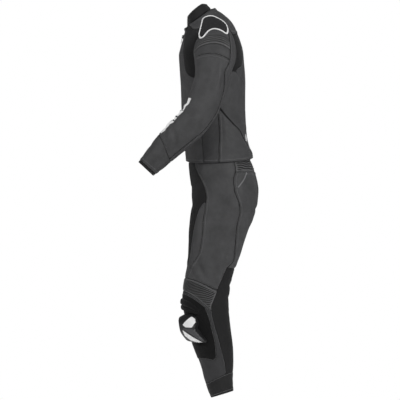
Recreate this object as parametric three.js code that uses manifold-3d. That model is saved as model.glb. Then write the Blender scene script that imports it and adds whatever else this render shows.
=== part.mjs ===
// A two-piece leather motorcycle suit, worn, with no wearer: a zipped jacket over trousers.
// Millimetres, +Z up. The front faces -Y and the wearer's left is +X.
// The origin is midway between the two shoulder tops, where the wearer holds the suit up.
//
// Every panel is a thin wall on one of four surfaces: the torso, a sleeve, a leg with its half of the hips,
// and the collar. A surface takes an angle round its section (0 front, 90 outer side, 180 back, -90 inner
// side) and a distance down it. Seams are lines on a surface, and the panels on their two sides share their
// points, a seam's gap apart.
import * as THREE from "three";
import { mergeVertices } from "three/addons/utils/BufferGeometryUtils.js";
import Module from "manifold-3d";

// ---------------------------------------------------------------- driving dimensions
const LEATHER = 1.8; // wall of a leather panel
const FABRIC = 1.5; // wall of a stretch panel
const PADDED = 2.6; // wall of an accordion panel or cuff
const COLLAR_WALL = 5;
const SEAM = 0.4; // gap between two panels, measured along the surface
const CENTRE = 0.4; // how far each trouser half stays from the middle plane
const ZIP_WIDTH = 11;
const ZIP_THICK = 3;
const HIP_Z = -492; // height of row 0 of the trousers, just above the jacket's hem
const WAIST = -50; // first row of the trousers, inside the jacket

// ---------------------------------------------------------------- small tools
const rad = (degrees) => (degrees * Math.PI) / 180;
const deg = (radians) => (radians * 180) / Math.PI;
const mix = (a, b, t) => a + (b - a) * t;

/** Rows of numbers as a list of objects, with the column names written once. */
function table(names, rows) {
  const keys = names.trim().split(/\s+/);
  return rows.map((row) => Object.fromEntries(keys.map((key, i) => [key, row[i]])));
}

/** One column of a table at a place between its rows, on a smooth curve that doesn't overshoot. */
function column(rows, key, place, along = "down") {
  const last = rows.length - 1;
  if (place <= rows[0][along]) return rows[0][key];
  if (place >= rows[last][along]) return rows[last][key];
  let i = 0;
  while (place > rows[i + 1][along]) i++;
  const slope = (a, b) => (rows[b][key] - rows[a][key]) / (rows[b][along] - rows[a][along]);
  const here = slope(i, i + 1);
  const tangent = (before, after) => {
    if (before < 0 || after > last) return here;
    const [p, q] = [slope(before, before + 1), slope(before + 1, after)];
    return p * q <= 0 ? 0 : (2 * p * q) / (p + q);
  };
  const step = rows[i + 1][along] - rows[i][along];
  const t = (place - rows[i][along]) / step;
  const [from, to] = [rows[i][key], rows[i + 1][key]];
  const [out, into] = [tangent(i - 1, i + 1) * step, tangent(i, i + 2) * step];
  const leave = (2 * t ** 3 - 3 * t ** 2 + 1) * from + (t ** 3 - 2 * t ** 2 + t) * out;
  const arrive = (3 * t ** 2 - 2 * t ** 3) * to + (t ** 3 - t ** 2) * into;
  return leave + arrive;
}

/** Every column of a section table at that place. */
function section(rows, place) {
  return Object.fromEntries(Object.keys(rows[0]).map((key) => [key, column(rows, key, place)]));
}

/** A rounded section at an angle: how far sideways and how far forward of its centre. */
function round(angle, half, deep, power) {
  const [s, c] = [Math.sin(rad(angle)), Math.cos(rad(angle))];
  const r = (Math.abs(s / half) ** power + Math.abs(c / deep) ** power) ** (-1 / power);
  return { side: r * s, fore: r * c };
}

/** The outer side's angle at the point that lies at a share of the depth: 0 at the front edge, 1 at the back. */
function angleAtShare(share, half, deep, power) {
  const fore = 1 - 2 * share;
  const side = half * Math.max(0, 1 - Math.abs(fore) ** power) ** (1 / power);
  return deg(Math.atan2(side, deep * fore));
}

/** A point of a section that leans: its front hangs lower by its tilt. */
function leaning({ y, z, tilt }, side, fore) {
  return new THREE.Vector3(side, y - fore * Math.cos(rad(tilt)), z - fore * Math.sin(rad(tilt)));
}

// ---------------------------------------------------------------- torso
const TORSO = table("down y z tilt half deep power dip", [
  [0, -46, -2, 37, 70, 53, 2.0, 0], // neck seam
  [45, -31, -26, 29, 116, 78, 2.1, 0],
  [100, -15, -56, 19, 164, 95, 2.4, 0], // shoulder tip
  [150, -7, -94, 9, 172, 106, 2.5, 0],
  [195, -3, -137, 3, 168, 115, 2.5, 0],
  [245, 1, -187, 0, 162, 116, 2.5, 0], // underarm
  [310, 4, -252, 0, 158, 115, 2.4, 0],
  [370, 5, -312, 0, 154, 114, 2.4, 0],
  [430, 8, -372, 0, 151, 113, 2.4, 0], // waist
  [485, 13, -427, 0, 152, 112, 2.4, 0],
  [535, 19, -469, 1, 160, 115, 2.4, 3],
  [575, 26, -498, 2.5, 170, 119.5, 2.4, 7],
  [595, 28, -514, 2.8, 172, 119, 2.4, 10], // hem
]);
const ARMHOLE = { down: 170, tall: 92, angle: 99, wide: 28 }; // centre and half sizes on the torso

/** A point of the torso. A section leans forward by its tilt, and its sides hang lower by its dip. */
function torso(angle, down) {
  const s = section(TORSO, down);
  const { side, fore } = round(angle, s.half, s.deep, s.power);
  const dip = s.dip * Math.sin(rad(angle)) ** 2;
  const point = leaning(s, side, fore);
  point.z -= dip;
  return point;
}

const torsoShare = (rows) => (down) => {
  const s = section(TORSO, down);
  return angleAtShare(column(rows, "share", down), s.half, s.deep, s.power);
};
/** The armhole's edge on the torso at a distance down: its front side for -1, its back side for 1. */
const armholeEdge = (way) => (down) => {
  const t = THREE.MathUtils.clamp((down - ARMHOLE.down) / ARMHOLE.tall, -1, 1);
  return ARMHOLE.angle + way * ARMHOLE.wide * Math.sqrt(1 - t * t);
};
/** A row of the torso where the sleeve has a column: 0 at the armhole's top, 8 at its bottom. */
const armholeRow = (k) => ARMHOLE.down - ARMHOLE.tall * Math.cos((Math.PI * k) / 8);
const armholeRows = (from, to) => Array.from({ length: to - from + 1 }, (_, i) => armholeRow(from + i));

const zipEdge = (down) => deg(Math.atan2(ZIP_WIDTH / 2, section(TORSO, down).deep));
const shoulderSeam = (down) =>
  column(table("down angle", [[0, 51], [45, 69], [armholeRow(0), ARMHOLE.angle]]), "angle", down);
const chestSeam = torsoShare(table("down share", [
  [0, 0.03], [45, 0.025], [100, 0.03], [150, 0.05], [195, 0.07], [245, 0.08], [270, 0.13], [290, 0.3],
  [595, 0.26],
]));
const sideSeamBelow = torsoShare(table("down share", [
  [262, 0.56], [300, 0.56], [368, 0.56], [433, 0.57], [485, 0.56], [540, 0.52], [595, 0.485],
]));
const sideSeam = (down) => (down <= armholeRow(8) ? ARMHOLE.angle : sideSeamBelow(down));
const centreBackSeam = torsoShare(table("down share", [
  [130, 0.97], [170, 0.985], [205, 0.983], [235, 0.955], [255, 0.86], [262, 0.89], [290, 0.97], [330, 0.985],
  [595, 0.985],
]));
const diagonalSeam = torsoShare(table("down share", [
  [376, 0.567], [395, 0.616], [440, 0.787], [465, 0.886], [503, 0.951], [535, 0.984], [595, 0.985],
]));

// ---------------------------------------------------------------- sleeve
const CAP_END = 200; // where the sleeve cap has become a round sleeve
const SLEEVE = table("down x y z tilt half deep", [
  [200, 224, 0, -222, 2, 55, 64],
  [245, 232, -15, -272, -6, 55, 61],
  [290, 238, -31, -318, -16, 54, 60],
  [325, 242, -47, -348, -25, 53, 59], // elbow
  [365, 244, -70, -380, -33, 52, 59],
  [420, 243, -111, -420, -37, 50, 57],
  [480, 240, -151, -458, -38, 46, 52],
  [540, 236, -189, -497, -39, 41, 45],
  [590, 232, -219, -528, -40, 37, 39],
  [622, 230, -238, -547, -43, 35, 35], // end of the cuff
]);
/** How far a row runs ahead at the back of the sleeve, and behind at its front. */
const SLEEVE_SLANT = table("row ahead", [
  [0, 0], [58, 22], [127, 22], [200, 0], [410, 0], [505, 27], [600, 0], [622, 0],
]);
const LEAVE = { out: 0.9, fore: 0.3, back: 0.05, fall: -0.38, rise: 0.1 }; // how the cap leaves the armhole
const CAP_PULL = 1.15; // how far the cap swings out before it turns down

/** A point of a round section of the sleeve, below the cap. */
function lowerSleeve(angle, down) {
  const s = section(SLEEVE, down);
  const { side, fore } = round(angle, s.half, s.deep, 2);
  return leaning(s, s.x + side, fore);
}
/** The armhole's edge at a sleeve angle, so that sleeve columns and torso rows share their points. */
function armhole(angle) {
  const [s, c] = [Math.sin(rad(angle)), Math.cos(rad(angle))];
  return torso(ARMHOLE.angle - ARMHOLE.wide * c, ARMHOLE.down - ARMHOLE.tall * s);
}
/** A point of the sleeve: the cap curves from the armhole down to the first round section. */
function sleeve(angle, row) {
  const down = row - column(SLEEVE_SLANT, "ahead", row, "row") * Math.cos(rad(angle));
  if (down >= CAP_END) return lowerSleeve(angle, down);
  const t = down / CAP_END;
  const [from, to] = [armhole(angle), lowerSleeve(angle, CAP_END)];
  const pull = from.distanceTo(to) * CAP_PULL;
  const [s, c] = [Math.sin(rad(angle)), Math.cos(rad(angle))];
  const fore = -(c > 0 ? LEAVE.fore : LEAVE.back) * c;
  const leaving = new THREE.Vector3(LEAVE.out, fore, LEAVE.fall + LEAVE.rise * s).setLength(pull);
  const arriving = lowerSleeve(angle, CAP_END + 5).sub(to).setLength(pull);
  return from.multiplyScalar(2 * t ** 3 - 3 * t ** 2 + 1)
    .addScaledVector(leaving, t ** 3 - 2 * t ** 2 + t)
    .addScaledVector(to, 3 * t ** 2 - 2 * t ** 3)
    .addScaledVector(arriving, t ** 3 - t ** 2);
}
const rearSleeveSeam = (down) =>
  column(table("down angle", [
    [0, 135], [60, 142], [125, 146], [158, 139], [182, 134], [210, 143], [245, 154], [290, 156],
    [365, 152], [420, 146], [622, 143],
  ]), "angle", down);
const FRONT_SLEEVE_SEAM = -22.5;
const frontSleeveSeam = () => FRONT_SLEEVE_SEAM;
const frontSleeveSeamRound = () => FRONT_SLEEVE_SEAM + 360;

// ---------------------------------------------------------------- hips and legs
const LEG = table("down y deep x inner outer tilt power", [
  [-50, 14.5, 107.6, 0, 100, 148.8, 0, 2.4], // waist
  [-26, 17.5, 109.1, 0, 100, 152.6, 0, 2.4],
  [0, 21, 107, 0, 100, 155, 0, 2.4],
  [28, 28, 110, 0, 100, 162, 0, 2.4],
  [46, 32.5, 113.5, 0, 100, 166, 0, 2.4],
  [85, 41, 118, 0, 100, 172, 0, 2.3],
  [128, 47, 119, 24, 96, 153, 0, 2.2],
  [163, 46, 118, 58, 82, 119, 0, 2.1],
  [205, 41, 116, 86, 85.2, 89, 0, 2.0], // crotch
  [234, 33, 112, 91, 87, 83, 0, 2.0],
  [277, 23, 106, 96, 84, 77, 0, 2.0],
  [319, 15, 99, 100, 80, 72, 0, 2.0],
  [361, 8, 94, 103, 76, 68, 0, 2.0],
  [404, -2, 88, 105, 71, 65, 0, 2.0],
  [446, -13, 84, 106, 66, 62, 0, 2.0],
  [488, -20, 83, 107, 62, 60, 0, 2.1],
  [530, -22, 81, 108, 60, 59, 0, 2.1], // knee
  [573, -18, 79, 109, 59, 58, 0, 2.1],
  [615, -13, 78, 110, 58, 58, 0, 2.0],
  [678, 2, 71, 111, 57, 57, 0, 2.0], // calf
  [721, 11, 64, 112, 53, 53, 0, 2.0],
  [763, 19, 57, 112, 49, 49, 2, 2.0],
  [805, 24, 51, 113, 45, 45, 6, 2.0],
  [838, 30, 46, 113, 42, 42, 12, 2.0],
  [864, 37, 41, 114, 41, 41, 17, 2.0], // ankle hem
]);
/** How much lower a row runs at the back of the leg than at the front: the seams round the knee slope. */
const SLANT = table("row drop", [
  [0, 0], [340, 0], [446, 56], [494, 108], [600, 66], [719, 22], [760, 0], [818, -32], [864, 0],
]);

const slanted = (angle, row) => row + (column(SLANT, "drop", row, "row") * (1 - Math.cos(rad(angle)))) / 2;
function leg(angle, row) {
  const s = section(LEG, slanted(angle, row));
  const { side, fore } = round(angle, Math.sin(rad(angle)) < 0 ? s.inner : s.outer, s.deep, s.power);
  return leaning({ ...s, z: HIP_Z - s.down }, s.x + side, fore);
}
/** Both halves of the hips as one surface, for pieces that cross the middle. Above the crotch only. */
function hips(angle, row) {
  const turned = ((angle % 360) + 360) % 360;
  const point = leg(turned > 180 ? 360 - turned : turned, row);
  if (turned > 180) point.x *= -1;
  return point;
}
/** A seam on the outer side of the leg, at a share of its depth. The row is followed down its slope. */
const legShare = (rows) => (row) => {
  let angle = 90;
  for (let i = 0; i < 6; i++) {
    const down = slanted(angle, row);
    const s = section(LEG, down);
    angle = angleAtShare(column(rows, "share", down), s.outer, s.deep, s.power);
  }
  return angle;
};
/** Where the front of a trouser half ends: the middle plane above the crotch, the inseam at -90 below it. */
function inseam(row) {
  const s = section(LEG, row);
  const reach = (s.x - CENTRE) / s.inner;
  if (reach >= 1) return -90;
  const fore = s.deep * (1 - Math.max(0, reach) ** s.power) ** (1 / s.power);
  return deg(Math.atan2(CENTRE - s.x, fore));
}
const inseamRound = (row) => (inseam(row) <= -90 ? 270 : 180 - inseam(row));

const thighSeam = legShare(table("down share", [
  [0, 0.08], [49, 0.095], [91, 0.154], [133, 0.203], [161, 0.221], [188, 0.213], [230, 0.212], [283, 0.233],
  [328, 0.226], [359, 0.2], [378, 0.15], [410, 0.08], [446, 0.03],
]));
const leafSeam = legShare(table("down share", [
  [175, 0.19], [206, 0.11], [248, 0.085], [290, 0.065], [335, 0.045], [387, 0.02],
]));
const rearLegSeam = legShare(table("down share", [
  [0, 0.74], [49, 0.72], [108, 0.634], [133, 0.64], [161, 0.687], [188, 0.734], [230, 0.774], [265, 0.79],
  [318, 0.85], [352, 0.875], [386, 0.91], [412, 0.83], [425, 0.82], [450, 0.8], [478, 0.76], [510, 0.71],
  [530, 0.665], [551, 0.615], [583, 0.61], [614, 0.64], [667, 0.67], [719, 0.71], [771, 0.76], [864, 0.77],
]));
const kneeSeam = legShare(table("down share", [
  [500, 0.22], [520, 0.33], [541, 0.44], [583, 0.53], [614, 0.565], [667, 0.57], [719, 0.54], [740, 0.53],
]));

// ---------------------------------------------------------------- collar
const COLLAR = table("down y z tilt half deep", [
  [0, -56, 29, 36, 58, 38], // top edge
  [16, -53, 16, 37, 64, 45],
  [32, -48, 3, 37, 69, 51],
  [40, -46.5, -1, 37, 70, 53], // neck seam
]);
function collar(angle, down) {
  const s = section(COLLAR, down);
  const { side, fore } = round(angle, s.half, s.deep, 2);
  return leaning(s, side, fore);
}

// ---------------------------------------------------------------- walls
const STEP = 0.05; // of a degree or millimetre, for slopes
/** The surface's slopes along the angle and down, and its outward normal. */
function frameAt(surface, angle, down) {
  const across = surface(angle + STEP, down).sub(surface(angle - STEP, down)).divideScalar(2 * STEP);
  const along = surface(angle, down + STEP).sub(surface(angle, down - STEP)).divideScalar(2 * STEP);
  return { across, along, normal: along.clone().cross(across).normalize() };
}

/** A mesh of points and the triangles between them. */
function indexed(points, index) {
  const geometry = new THREE.BufferGeometry();
  const places = points.flatMap((p) => p.toArray());
  geometry.setAttribute("position", new THREE.Float32BufferAttribute(places, 3));
  geometry.setIndex(index);
  return geometry;
}

/** A closed solid between two grids of points, [row][column]. The outer grid faces out; round joins the ends. */
function between(outer, inner, round = false) {
  const [rows, columns] = [outer.length, outer[0].length];
  const points = [...outer.flat(), ...inner.flat()];
  const index = [];
  const half = rows * columns;
  const at = (r, c) => r * columns + (c % columns);
  const quad = (a, b, c, d) => index.push(a, b, c, a, c, d);
  const last = round ? columns : columns - 1;
  for (let r = 0; r < rows - 1; r++)
    for (let c = 0; c < last; c++) {
      const [a, b, d, e] = [at(r, c), at(r + 1, c), at(r + 1, c + 1), at(r, c + 1)];
      quad(a, b, d, e);
      quad(a + half, e + half, d + half, b + half);
    }
  for (let c = 0; c < last; c++) {
    quad(at(0, c), at(0, c + 1), at(0, c + 1) + half, at(0, c) + half);
    const r = rows - 1;
    quad(at(r, c + 1), at(r, c), at(r, c) + half, at(r, c + 1) + half);
  }
  if (!round)
    for (let r = 0; r < rows - 1; r++) {
      quad(at(r + 1, 0), at(r, 0), at(r, 0) + half, at(r + 1, 0) + half);
      const c = columns - 1;
      quad(at(r, c), at(r + 1, c), at(r + 1, c) + half, at(r, c) + half);
    }
  return indexed(points, index);
}

/** A panel: a wall on a surface between two seams and two rows, drawn back by half a gap all round. */
function panel(surface, rows, [left, right], { columns, wall = LEATHER, lift = 0, round = false }) {
  const [outer, inner] = [[], []];
  const last = rows.length - 1;
  /** How many times the gap grows along a row where the seam runs slantwise. */
  const slantwise = (seam, i, slopes) => {
    const [a, b] = [rows[Math.max(i - 1, 0)], rows[Math.min(i + 1, last)]];
    const slope = ((seam(b) - seam(a)) * slopes.across.length()) / ((b - a) * slopes.along.length());
    return Math.min(4, Math.hypot(1, slope));
  };
  rows.forEach((row, i) => {
    const inward = i === 0 ? 1 : i === last ? -1 : 0;
    const [from, to] = [left(row), right(row)];
    const [outerRow, innerRow] = [[], []];
    for (let c = 0; c <= columns - (round ? 1 : 0); c++) {
      const edge = round ? 0 : c === 0 ? 1 : c === columns ? -1 : 0;
      const angle = mix(from, to, c / columns);
      const slopes = frameAt(surface, angle, row + inward * SEAM);
      const widen = edge ? slantwise(edge > 0 ? left : right, i, slopes) : 0;
      const p = surface(
        angle + (edge * widen * SEAM) / 2 / slopes.across.length(),
        row + (inward * SEAM) / 2 / slopes.along.length(),
      );
      outerRow.push(p.clone().addScaledVector(slopes.normal, lift ? lift + wall : 0));
      innerRow.push(p.clone().addScaledVector(slopes.normal, lift || -wall));
    }
    outer.push(outerRow);
    inner.push(innerRow);
  });
  return between(outer, inner, round);
}

/** A pad on a surface, inside an outline of corners measured across and down from its centre. */
function pad(surface, centre, corners, { rings, height, lift, sides = 1 }) {
  const { across, along } = frameAt(surface, centre.angle, centre.down);
  const edge = corners.flatMap((corner, i) => {
    const next = corners[(i + 1) % corners.length];
    return Array.from({ length: sides }, (_, k) => ({
      across: mix(corner.across, next.across, k / sides),
      down: mix(corner.down, next.down, k / sides),
    }));
  });
  const grid = (raise) =>
    rings.map(({ share, high }) =>
      edge.map((corner) => {
        const angle = centre.angle + (corner.across * share) / across.length();
        const down = centre.down + (corner.down * share) / along.length();
        const { normal } = frameAt(surface, angle, down);
        return surface(angle, down).addScaledVector(normal, raise ? lift + height * high : lift);
      }),
    );
  return capped(grid(true), grid(false));
}

/** The closed solid between two stacks of rings whose innermost rings are closed by a fan. */
function capped(outer, inner) {
  const middle = (ring) => ring.reduce((sum, p) => sum.add(p), new THREE.Vector3()).divideScalar(ring.length);
  const n = outer[0].length;
  const points = [...outer.flat(), ...inner.flat(), middle(outer[0]), middle(inner[0])];
  const half = outer.length * n;
  const [top, bottom] = [2 * half, 2 * half + 1];
  const index = [];
  for (let i = 0; i < n; i++) {
    const j = (i + 1) % n;
    index.push(top, j, i, bottom, half + i, half + j);
    for (let r = 0; r < outer.length - 1; r++) {
      const [a, b, c, d] = [r * n + i, (r + 1) * n + i, (r + 1) * n + j, r * n + j];
      index.push(c, b, a, d, c, a, half + b, half + c, half + d, half + a, half + b, half + d);
    }
    const rim = (outer.length - 1) * n;
    index.push(half + rim + j, half + rim + i, rim + i, rim + j, half + rim + j, rim + i);
  }
  return indexed(points, index);
}

/** The same solid on the wearer's other side. */
function mirrored(geometry) {
  const other = geometry.clone();
  const position = other.getAttribute("position");
  for (let i = 0; i < position.count; i++) position.setX(i, -position.getX(i));
  const index = Array.from(geometry.getIndex().array);
  for (let i = 0; i < index.length; i += 3) [index[i + 1], index[i + 2]] = [index[i + 2], index[i + 1]];
  other.setIndex(index);
  return other;
}

const wasm = await Module();
wasm.setup();
/** Two closed solids as one. */
function joined(a, b) {
  const solid = (geometry) => {
    const bare = geometry.clone();
    for (const name of ["normal", "uv"]) bare.deleteAttribute(name);
    const merged = mergeVertices(bare, 1e-4);
    return new wasm.Manifold(
      new wasm.Mesh({
        numProp: 3,
        vertProperties: merged.getAttribute("position").array,
        triVerts: new Uint32Array(merged.getIndex().array),
      }),
    );
  };
  const mesh = solid(a).add(solid(b)).getMesh();
  const geometry = new THREE.BufferGeometry();
  geometry.setAttribute("position", new THREE.BufferAttribute(mesh.vertProperties, 3));
  geometry.setIndex(new THREE.BufferAttribute(mesh.triVerts, 1));
  return geometry;
}

// ---------------------------------------------------------------- materials
const matte = (color, roughness) => new THREE.MeshStandardMaterial({ color, roughness, metalness: 0 });
const FINISH = {
  leather: matte(0x484848, 0.5),
  dark: matte(0x383838, 0.55),
  fabric: matte(0x262626, 0.85),
  knee: matte(0x1c1c1c, 0.9),
  slider: matte(0x2a2a2a, 0.35),
  metal: new THREE.MeshStandardMaterial({ color: 0x8c8c8c, roughness: 0.35, metalness: 0.9 }),
  zip: matte(0x1e1e1e, 0.6),
};

const suit = new THREE.Group();
function add(name, geometry, finish) {
  const mesh = new THREE.Mesh(geometry, FINISH[finish]);
  mesh.name = name;
  suit.add(mesh);
  return mesh;
}
function addPair(name, geometry, finish) {
  add(`${name}_left`, geometry, finish);
  add(`${name}_right`, mirrored(geometry), finish);
}

// ---------------------------------------------------------------- jacket body
const CHEST_END = 290; // lower end of the chest stretch panels
const TIP = 535; // lower point of the back side panels
const HEM = 595;
const UNDERARM = armholeRow(8);
const YOKE_END = armholeRow(3);
const DIAGONAL_TOP = 376;
const LOWER_ROWS = [CHEST_END, 332, DIAGONAL_TOP, 420, 470, 503, TIP, HEM];
const from = (rows, start) => rows.filter((row) => row >= start);
const upTo = (rows, end) => rows.filter((row) => row <= end);
const mirroredSeam = (seam) => (row) => 360 - seam(row);

function frontEdge(row) {
  if (row <= armholeRow(0)) return shoulderSeam(row);
  return row <= UNDERARM ? armholeEdge(-1)(row) : sideSeam(row);
}
const CHEST_ROWS = [0, 45, ...armholeRows(0, 8)];
addPair("front", panel(torso, [...CHEST_ROWS, ...LOWER_ROWS], [zipEdge, chestSeam], { columns: 4 }), "leather");
addPair(
  "chest_stretch",
  panel(torso, [...CHEST_ROWS, CHEST_END], [chestSeam, frontEdge], { columns: 3, wall: FABRIC }),
  "fabric",
);
addPair("side", panel(torso, LOWER_ROWS, [chestSeam, sideSeam], { columns: 2 }), "dark");
const yokeEdge = (row) => (row <= armholeRow(0) ? shoulderSeam(row) : armholeEdge(1)(row));
const YOKE_ROWS = [0, 45, ...armholeRows(0, 3)];
add("yoke", panel(torso, YOKE_ROWS, [yokeEdge, mirroredSeam(yokeEdge)], { columns: 10 }), "leather");
addPair(
  "back_stretch",
  panel(torso, armholeRows(3, 7), [armholeEdge(1), centreBackSeam], { columns: 3, wall: FABRIC }),
  "fabric",
);
add(
  "back_centre",
  panel(torso, [...armholeRows(3, 8), ...LOWER_ROWS], [centreBackSeam, mirroredSeam(centreBackSeam)], {
    columns: 3,
  }),
  "leather",
);
const POINT = 0.7; // width, in degrees, of a panel that ends in a point
function backSideFront(row) {
  if (row < UNDERARM) return armholeEdge(1)(row);
  return row < DIAGONAL_TOP ? sideSeam(row) : Math.max(diagonalSeam(row), sideSeam(row) + POINT);
}
const BACK_ROWS = [armholeRow(7), UNDERARM, ...upTo(LOWER_ROWS, TIP)];
addPair("back_side", panel(torso, BACK_ROWS, [backSideFront, centreBackSeam], { columns: 3 }), "leather");
const lowerBackRear = (row) => (row <= TIP ? backSideFront(row) : centreBackSeam(row));
addPair(
  "lower_back",
  panel(torso, from(LOWER_ROWS, DIAGONAL_TOP), [sideSeam, lowerBackRear], { columns: 4 }),
  "leather",
);

// ---------------------------------------------------------------- collar and front zip
const collarEdge = (down) => deg(Math.atan2(ZIP_WIDTH / 2 + 0.2, section(COLLAR, down).deep));
add(
  "collar",
  panel(collar, [0, 16, 39.2], [collarEdge, mirroredSeam(collarEdge)], { columns: 14, wall: COLLAR_WALL }),
  "fabric",
);

/** A flat band up the front, its outer face on the panels' outer face: the zip's tape and closed teeth. */
function frontZip() {
  const profile = [
    ...[2, 16, 30].map((down) => collar(0, down)),
    ...[4, 45, 85, 135, 170, 205, 235, 262, 310, 370, 430, 485, 535, 594].map((down) => torso(0, down)),
  ];
  const lines = profile.map((p, i) => {
    const next = profile[Math.min(i + 1, profile.length - 1)];
    const along = next.clone().sub(profile[Math.max(i - 1, 0)]).normalize();
    const out = along.cross(new THREE.Vector3(1, 0, 0)).normalize();
    const half = ZIP_WIDTH / 2 - SEAM;
    const corner = (x, depth) => p.clone().addScaledVector(out, -depth).setX(x);
    return [corner(-half, 0), corner(half, 0), corner(half, ZIP_THICK), corner(-half, ZIP_THICK)];
  });
  const index = [];
  const quad = (a, b, c, d) => index.push(a, b, c, a, c, d);
  const at = (r, k) => r * 4 + (k % 4);
  for (let r = 0; r < lines.length - 1; r++)
    for (let k = 0; k < 4; k++) quad(at(r, k), at(r + 1, k), at(r + 1, k + 1), at(r, k + 1));
  quad(0, 1, 2, 3);
  const end = (lines.length - 1) * 4;
  quad(end + 3, end + 2, end + 1, end);
  return indexed(lines.flat(), index);
}
add("front_zip", frontZip(), "zip");

/** A solid drawn beside the zip: its own axes are the wearer's left, down the zip, and out of it. */
function onZip(geometry, down, out) {
  const point = torso(0, down);
  const along = torso(0, down + 8).sub(torso(0, down - 8)).normalize();
  const left = new THREE.Vector3(1, 0, 0);
  const away = left.clone().cross(along).negate();
  const place = new THREE.Matrix4().makeBasis(left.clone().negate(), along, away);
  return geometry.applyMatrix4(place.setPosition(point.addScaledVector(away, out)));
}
/** A plate of a profile drawn in (down, out), with round holes, of a width across the zip. */
function plate(corners, holes, width) {
  const shape = new THREE.Shape(corners.map(([x, y]) => new THREE.Vector2(x, y)));
  for (const { x, y, radius } of holes)
    shape.holes.push(new THREE.Path().absarc(x, y, radius, 0, 2 * Math.PI, true));
  const geometry = new THREE.ExtrudeGeometry(shape, { depth: width, bevelEnabled: false, curveSegments: 10 });
  const turn = new THREE.Matrix4().makeBasis(
    new THREE.Vector3(0, 1, 0),
    new THREE.Vector3(0, 0, 1),
    new THREE.Vector3(1, 0, 0),
  );
  return geometry.translate(0, 0, -width / 2).applyMatrix4(turn);
}
const SLIDER = { down: 62, wide: 9.6, long: 15, thick: 3.2, bore: 1.45, eye: 4.7, top: 6.9, arch: 3 };
const PULL = { wide: 8, bar: 0.8, window: 4.4, reach: 7, long: 25, thick: 1.6 };
const ZIP_FACE = 0.6; // air between the zip's face and the slider

const SLIDER_END = SLIDER.long / 2;
const SLIDER_SIDE = [
  [-SLIDER_END, 0], [SLIDER_END, 0], [SLIDER_END, 2.2], [6.4, SLIDER.thick], [-6.4, SLIDER.thick], [-SLIDER_END, 2.2],
];
const bodyPlate = plate(SLIDER_SIDE, [], SLIDER.wide);
const archPlate = plate(
  [[-6.2, 0.5], [6.2, 0.5], [4, SLIDER.top], [-4, SLIDER.top]],
  [{ x: 0, y: SLIDER.eye, radius: SLIDER.bore }],
  SLIDER.arch,
);
add("zip_slider", onZip(joined(bodyPlate, archPlate), SLIDER.down, ZIP_FACE), "metal");

function pullTab() {
  const half = PULL.wide / 2;
  const shape = new THREE.Shape();
  shape.moveTo(-half, -PULL.bar).lineTo(half, -PULL.bar).lineTo(half, PULL.long - 2);
  shape.lineTo(half - 2, PULL.long).lineTo(2 - half, PULL.long).lineTo(-half, PULL.long - 2);
  const hole = (top, bottom, wide) => {
    const side = wide / 2;
    return new THREE.Path().moveTo(-side, top).lineTo(-side, bottom).lineTo(side, bottom).lineTo(side, top);
  };
  shape.holes.push(hole(PULL.bar, PULL.reach, PULL.window), hole(PULL.long - 8, PULL.long - 4, 3));
  const tab = new THREE.ExtrudeGeometry(shape, { depth: PULL.thick, bevelEnabled: false });
  return tab.translate(0, 0, -PULL.thick / 2);
}
add("zip_pull", onZip(pullTab(), SLIDER.down, ZIP_FACE + SLIDER.eye), "metal");

// ---------------------------------------------------------------- sleeves
const ELBOW_ROWS = [200, 250, 295, 330, 370, 435, 505];
const BAND = { top: 58, ribs: 92, end: 127 }; // rows of the accordion strip and the smooth band below it
const capSeams = [frontSleeveSeam, rearSleeveSeam];
addPair("sleeve_cap", panel(sleeve, [0, 28, BAND.top], capSeams, { columns: 7 }), "leather");
const RIB_ROWS = [BAND.top, BAND.ribs];
addPair("sleeve_ribs", panel(sleeve, RIB_ROWS, capSeams, { columns: 7, wall: PADDED }), "leather");
addPair("sleeve_band", panel(sleeve, [BAND.ribs, BAND.end], capSeams, { columns: 7 }), "leather");
addPair("outer_sleeve", panel(sleeve, [BAND.end, 160, ...ELBOW_ROWS], capSeams, { columns: 7 }), "leather");
const UNDER_ROWS = [0.8, 28, BAND.top, BAND.ribs, BAND.end, 160, ...ELBOW_ROWS];
addPair(
  "under_sleeve",
  panel(sleeve, UNDER_ROWS, [rearSleeveSeam, frontSleeveSeamRound], { columns: 7, wall: FABRIC }),
  "leather",
);
const WRIST = 505; // where the two sleeve halves meet the wrist panel
const CUFF = 610;
const zero = () => 0;
const turn = () => 360;
const AROUND = { columns: 14, round: true };
addPair("wrist", panel(sleeve, [WRIST, 555, CUFF], [zero, turn], AROUND), "leather");
addPair("cuff", panel(sleeve, [CUFF, 622], [zero, turn], { ...AROUND, wall: PADDED }), "fabric");

/** The sleeve cap carried on over the shoulder: above the armhole it follows the torso in wider ovals. */
function shoulder(angle, down) {
  if (down >= 0) return sleeve(angle, down);
  const [s, c] = [Math.sin(rad(angle)), Math.cos(rad(angle))];
  return torso(ARMHOLE.angle - (ARMHOLE.wide - down * 0.25) * c, ARMHOLE.down - (ARMHOLE.tall - down) * s);
}

// ---------------------------------------------------------------- trousers
const WAISTBAND = -14;
const RIBS_END = 66;
const KNEE = { top: 446, end: 494 }; // the accordion panel above the knee
const LEAF = { top: 175, end: 394 };
const CUFF_ROW = 820;
const THIGH_ROWS = [WAISTBAND + 0.5, 28, RIBS_END, 100, 135, LEAF.top, 206, 262, 320, 378, LEAF.end];
const KNEE_ROWS = [420, KNEE.top];

add("waistband", panel(hips, [WAIST, WAISTBAND], [zero, turn], { columns: 24, round: true }), "dark");
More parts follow.
